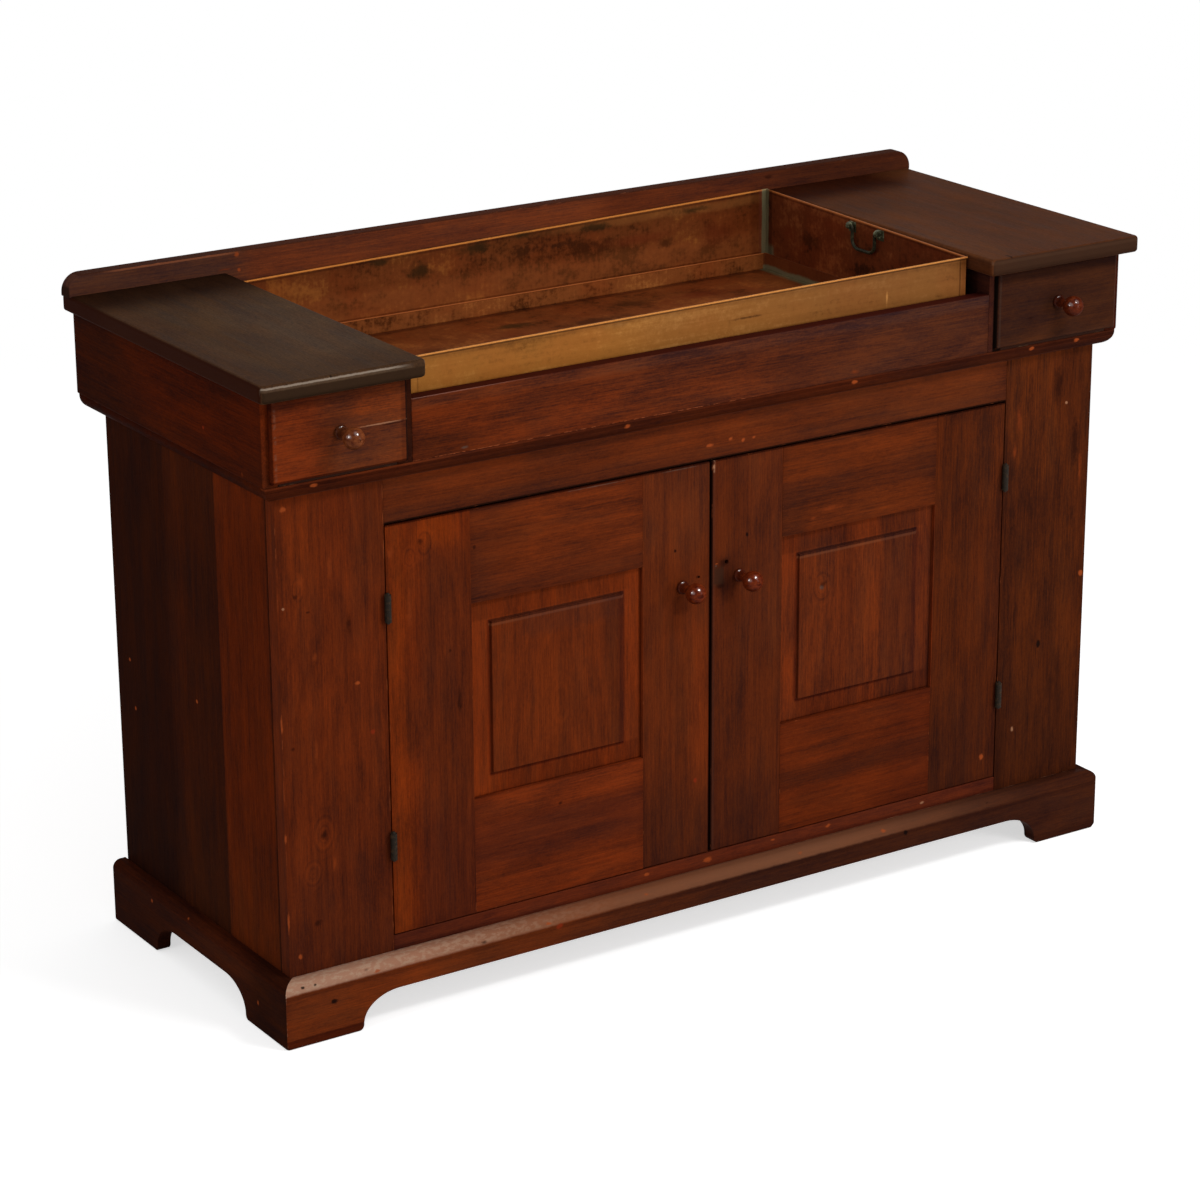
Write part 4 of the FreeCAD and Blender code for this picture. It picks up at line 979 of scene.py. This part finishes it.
def copperMaterial(name, look, layers):
    look = {**plainCopper, **look}
    form = copperForm
    surface = Surface(name + "_copper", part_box(name), look)
    if look["rim"]:
        # height above the sloping rim, for the layers that follow it
        low, high = look["rim"]
        slope = (high - low) * mm / (2 * surface.half[surface.grain])
        level = surface.fromMiddle(surface.grain) * slope + (low + high) / 2 * mm
        surface.at["rim"] = surface.at["z"] - level
    noises = {}
    for key, (way, detail, roughness) in copperNoises.items():
        shift = [part * surface.seed for part in way]
        noises[key] = noise(placed(surface.where, look[key + "Scale"], shift), detail, roughness)
    clouds, stains, specks, strokes = (noises[key] - 0.5 for key in ("cloud", "stain", "speck", "stroke"))
    dark, middle, light = (screen(*tone) for tone in look["tones"])
    mottle = (clouds + stains * look["stains"] + specks * look["specks"]) * look["spread"]
    mottle = mottle + strokes * look["strokes"]
    colour = blend(ease(mottle, *form["darkEdge"]), dark, middle)
    colour = blend(ease(mottle, *form["lightEdge"]), colour, light)
    redness = ease(noises["red"], *form["redEdge"]) * look["redness"]
    colour = blend(redness, colour, look["redTint"], "MULTIPLY")
    colour = surface.layered(colour, layers, stains)
    fray = (stains + specks * form["frayBySpecks"]) * form["markFray"]
    colour = surface.marked(colour, look["marks"], copperMarks, fray)
    height = noises["buckle"] * look["buckle"] + stains * form["raised"]
    dull = look["roughness"] + stains * form["dulled"]
    return surface.finish(colour, dull, height, form["relief"], look["gloss"], Metallic=look["metallic"])


def sheet(name, look, *layers):
    setMaterial(nodes[name], copperMaterial(name, look, layers))


golden = ((92, 54, 18), (124, 77, 31), (146, 98, 48))
inside = ((64, 31, 10), (110, 55, 23), (144, 84, 35))
rimShadow = tint((0.5, 0.46, 0.42), 0.7, 0.2, rim=(-5.6, -3, 1))
sheet("tray_front", {
    "tones": golden, "spread": 0.9, "redness": 0.35, "strokes": 0.3, "strokeScale": (12, 60, 260),
    "cloudScale": (3, 6, 30), "stains": 0.3, "rim": (894.3, 900.3), "seed": 1,
    "marks": {"bright": ((294, 860, 2, 12),), "dark": ((60, 868, 30, 2),)}},
    tint((0.84, 0.82, 0.84), 0.8, 8, z=(889, None, 8)),
    tint((1.3, 1.3, 1.15), 0.9, 8, x=(None, -110, 160), z=(None, 890, 20)),
    tint((1.12, 1.12, 1.1), 0.9, 4, z=(None, 868, 20)),
    tint((0.84, 0.86, 1.05), 0.9, x=(140, None, 300)),
    # painted highlight along the rim; the line below is painted shade under it
    paint((186, 122, 60), 0.8, rim=(-1.8, None, 0.8)),
    tint((0.4, 0.36, 0.34), 0.75, 0.1, rim=(-4.4, -3.0, 0.7)),
    tint((0.62, 0.6, 0.6), 0.8, 0.2, x=(-449, -447, 1)),
    tint((0.5, 0.42, 0.4), 0.8, 0.2, x=(419, 421, 1)),
    tint((0.85, 0.7, 0.62), 0.8, 0.2, x=(422, None, 2)))
sheet("tray_left", {
    "face": "x", "grain": "y", "tones": golden, "spread": 0.9, "seed": 2})
sheet("tray_back", {
    "tones": inside, "spread": 1.1, "seed": 3, "rim": (890.3, 907.3),
    "marks": {
        "olive": ((-166, 866, 26, 14), (-76, 886, 34, 9), (0, 895, 26, 7), (130, 889, 30, 7),
                  (-230, 887, 20, 7), (300, 893, 40, 6)), "dark": ((250, 850, 16, 10), (60, 872, 30, 6)),
        "red": ((200, 862, 60, 10), (340, 850, 40, 20))}},
    tint((1.6, 1.65, 1.7), 0.9, 6, z=(None, 848, 22)),
    paint((132, 74, 36), 0.3, 6, z=(None, 846, 22)),
    paint((146, 88, 42), 0.5, 4, x=(60, None, 200), z=(888, 900, 8)),
    tint((0.66, 0.68, 0.62), 0.7, 6, z=(880, None, 24)),
    # painted highlight along the rim
    paint((190, 118, 52), 0.85, 0.1, rim=(-2.2, None, 0.8)),
    rimShadow,
    tint((0.45, 0.4, 0.4), 0.7, 0.2, z=(810, 813.5, 1.5)),
    paint((112, 112, 84), 0.8, 1.2, x=(421, None, 2.5)),
    paint((104, 50, 36), 0.5, 0.6, x=(416, 421, 3)),
    tint((0.62, 0.56, 0.6), 0.7, 3, x=(402, 418, 12)))
sheet("tray_right", {
    "face": "x", "grain": "y", "tones": ((50, 24, 11), (98, 46, 22), (130, 70, 36)), "spread": 1.1,
    "rim": (900.3, 907.3), "seed": 4,
    "marks": {
        "green": ((-20, 892, 7, 8), (49, 892, 8, 10)), "dark": ((150, 850, 26, 12), (0, 868, 20, 6)),
        "red": ((200, 850, 24, 18), (90, 884, 30, 8))}},
    # painted highlight along the rim
    paint((158, 90, 42), 0.8, 0.1, rim=(-2.2, None, 0.8)),
    rimShadow,
    paint((104, 100, 74), 0.8, 1.2, y=(254.5, None, 2.5)),
    paint((106, 102, 76), 0.8, 1.6, y=(242, None, 10), z=(None, 824, 10)),
    tint((0.5, 0.5, 0.5), 0.8, 1.5, y=(246, 255, 4)))
sheet("tray_pan", {
    "face": "z", "tones": ((66, 31, 11), (122, 64, 29), (158, 94, 44)), "spread": 1.1, "seed": 5,
    "marks": {
        "dark": ((-200, 120, 60, 30), (150, 200, 50, 24), (60, 150, 70, 16)),
        "olive": ((-60, 190, 40, 14),), "red": ((250, 190, 60, 20),)}},
    tint((0.72, 0.6, 0.55), 0.95, z=(None, 786.5, 1)),
    tint((1.45, 1.6, 1.6), 0.9, 1, z=(787.5, 809, 2), y=(200, None, 4)),
    paint((204, 118, 60), 0.75, 0.1, y=(250, None, 2), z=(809.8, None, 0.8)),
    tint((0.5, 0.45, 0.45), 0.8, 0.3, y=(250, None, 2), z=(785.2, 787.6, 1.2)),
    paint((100, 48, 24), 0.8, x=(423.5, None, 1), z=(786.5, None, 1)),
    paint((116, 110, 82), 0.85, 2.5, x=(423, None, 1), z=(None, 793, 5)),
    paint((92, 82, 56), 0.75, 2, x=(417, None, 4), z=(None, 787, 1)))
print("copper finished")


# iron hinges and bronze handles
ironLook = {
    "tone": (32, 25, 18), "rust": (62, 44, 28), "metallic": 0.15, "roughness": 0.6, "gloss": 0.1,
    "rustScale": (160, 160, 160), "rustDetail": (4, 0.65), "rustEdge": (0.48, 0.7),
    "dulled": 0.4, "relief": 0.2}
bronzeLook = {**ironLook, "tone": (34, 32, 22), "rust": (62, 58, 38), "metallic": 0.2, "roughness": 0.5}


def metalMaterial(name, look):
    surface = Surface(name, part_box("hinge_pins"), {"grain": "z", "face": "y", "seed": 1})
    rust = noise(placed(surface.where, look["rustScale"]), *look["rustDetail"])
    colour = blend(ease(rust, *look["rustEdge"]), screen(*look["tone"]), screen(*look["rust"]))
    dull = look["roughness"] + (rust - 0.5) * look["dulled"]
    return surface.finish(colour, dull, rust, look["relief"], look["gloss"], Metallic=look["metallic"])


iron = metalMaterial("hinge_iron", ironLook)
bronze = metalMaterial("handle_bronze", bronzeLook)
solder = metalMaterial("soldered_bronze", {**bronzeLook, "tone": (58, 58, 40), "rust": (140, 142, 112)})
for name in nodes:
    if "hinge" in name:
        setMaterial(nodes[name], iron)
    if "bail" in name:
        setMaterial(nodes[name], solder if "eyes" in name else bronze)
print("metal finished")


# floor, world and lamps
studio = {
    "floorSize": 60.0,
    "floorColour": (0.82, 0.82, 0.82, 1.0),
    "nearGlow": 0.6,
    "shadowReach": (1.5, 3.2),
    "ambient": 0.5,
    "aim": (0.0, -0.1, 0.5),
    "lamps": {               # place, width and height, watts
        "key": ((0.5, -1.75, 2.5), (0.8, 0.5), 26.0),
        "front": ((1.45, -2.8, 1.15), (1.0, 1.0), 26.0),
        "side": ((-3.2, -0.6, 1.9), (0.5, 0.8), 12.0),
    },
}


def backgroundRays(tree):
    path = {name: tree.node("ShaderNodeLightPath", {}, output=name)
            for name in ("Is Camera Ray", "Is Glossy Ray", "Is Transmission Ray")}
    return path["Is Camera Ray"].most(path["Is Glossy Ray"]).most(path["Is Transmission Ray"])


def addFloor(values):
    shape = bmesh.new()
    bmesh.ops.create_grid(shape, x_segments=1, y_segments=1, size=values["floorSize"])
    data = bpy.data.meshes.new("floor")
    shape.to_mesh(data)
    shape.free()
    floor = addObject("floor", data)
    material = bpy.data.materials.new("floor_paper")
    tree = emptyTree(material)
    where = tree.node("ShaderNodeTexCoord", {}, output="Object")
    distance = where.node("ShaderNodeVectorMath", {0: where}, output=1, operation="LENGTH")
    far = ease(distance, *values["shadowReach"])
    seen = backgroundRays(tree)
    paper = tree.node("ShaderNodeBsdfDiffuse", {"Color": values["floorColour"]})
    glow = tree.node("ShaderNodeEmission", {"Color": (1, 1, 1, 1), "Strength": values["nearGlow"] * seen})
    near = tree.node("ShaderNodeAddShader", {0: paper, 1: glow})
    white = tree.node("ShaderNodeEmission", {"Color": (1, 1, 1, 1), "Strength": 1.0})
    mixed = tree.node("ShaderNodeMixShader", {0: far * seen, 1: near, 2: white})
    tree.node("ShaderNodeOutputMaterial", {"Surface": mixed})
    setMaterial(floor, material)


def addWorld(values):
    world = bpy.data.worlds.new("studio")
    bpy.context.scene.world = world
    tree = emptyTree(world)
    strength = backgroundRays(tree) * (1 - values["ambient"]) + values["ambient"]
    light = tree.node("ShaderNodeBackground", {"Color": (1, 1, 1, 1), "Strength": strength})
    tree.node("ShaderNodeOutputWorld", {"Surface": light})


def addSoftbox(name, place, size, power, aim):
    data = bpy.data.lights.new(name, "AREA")
    data.shape = "RECTANGLE"
    data.size, data.size_y = size
    data.energy = power
    lamp = addObject(name, data)
    lamp.location = place
    lamp.rotation_mode = "QUATERNION"
    lamp.rotation_quaternion = (Vector(aim) - Vector(place)).to_track_quat("-Z", "Y")


addFloor(studio)
addWorld(studio)
for name, (place, size, power) in studio["lamps"].items():
    addSoftbox(name, place, size, power, studio["aim"])
print("studio lit")
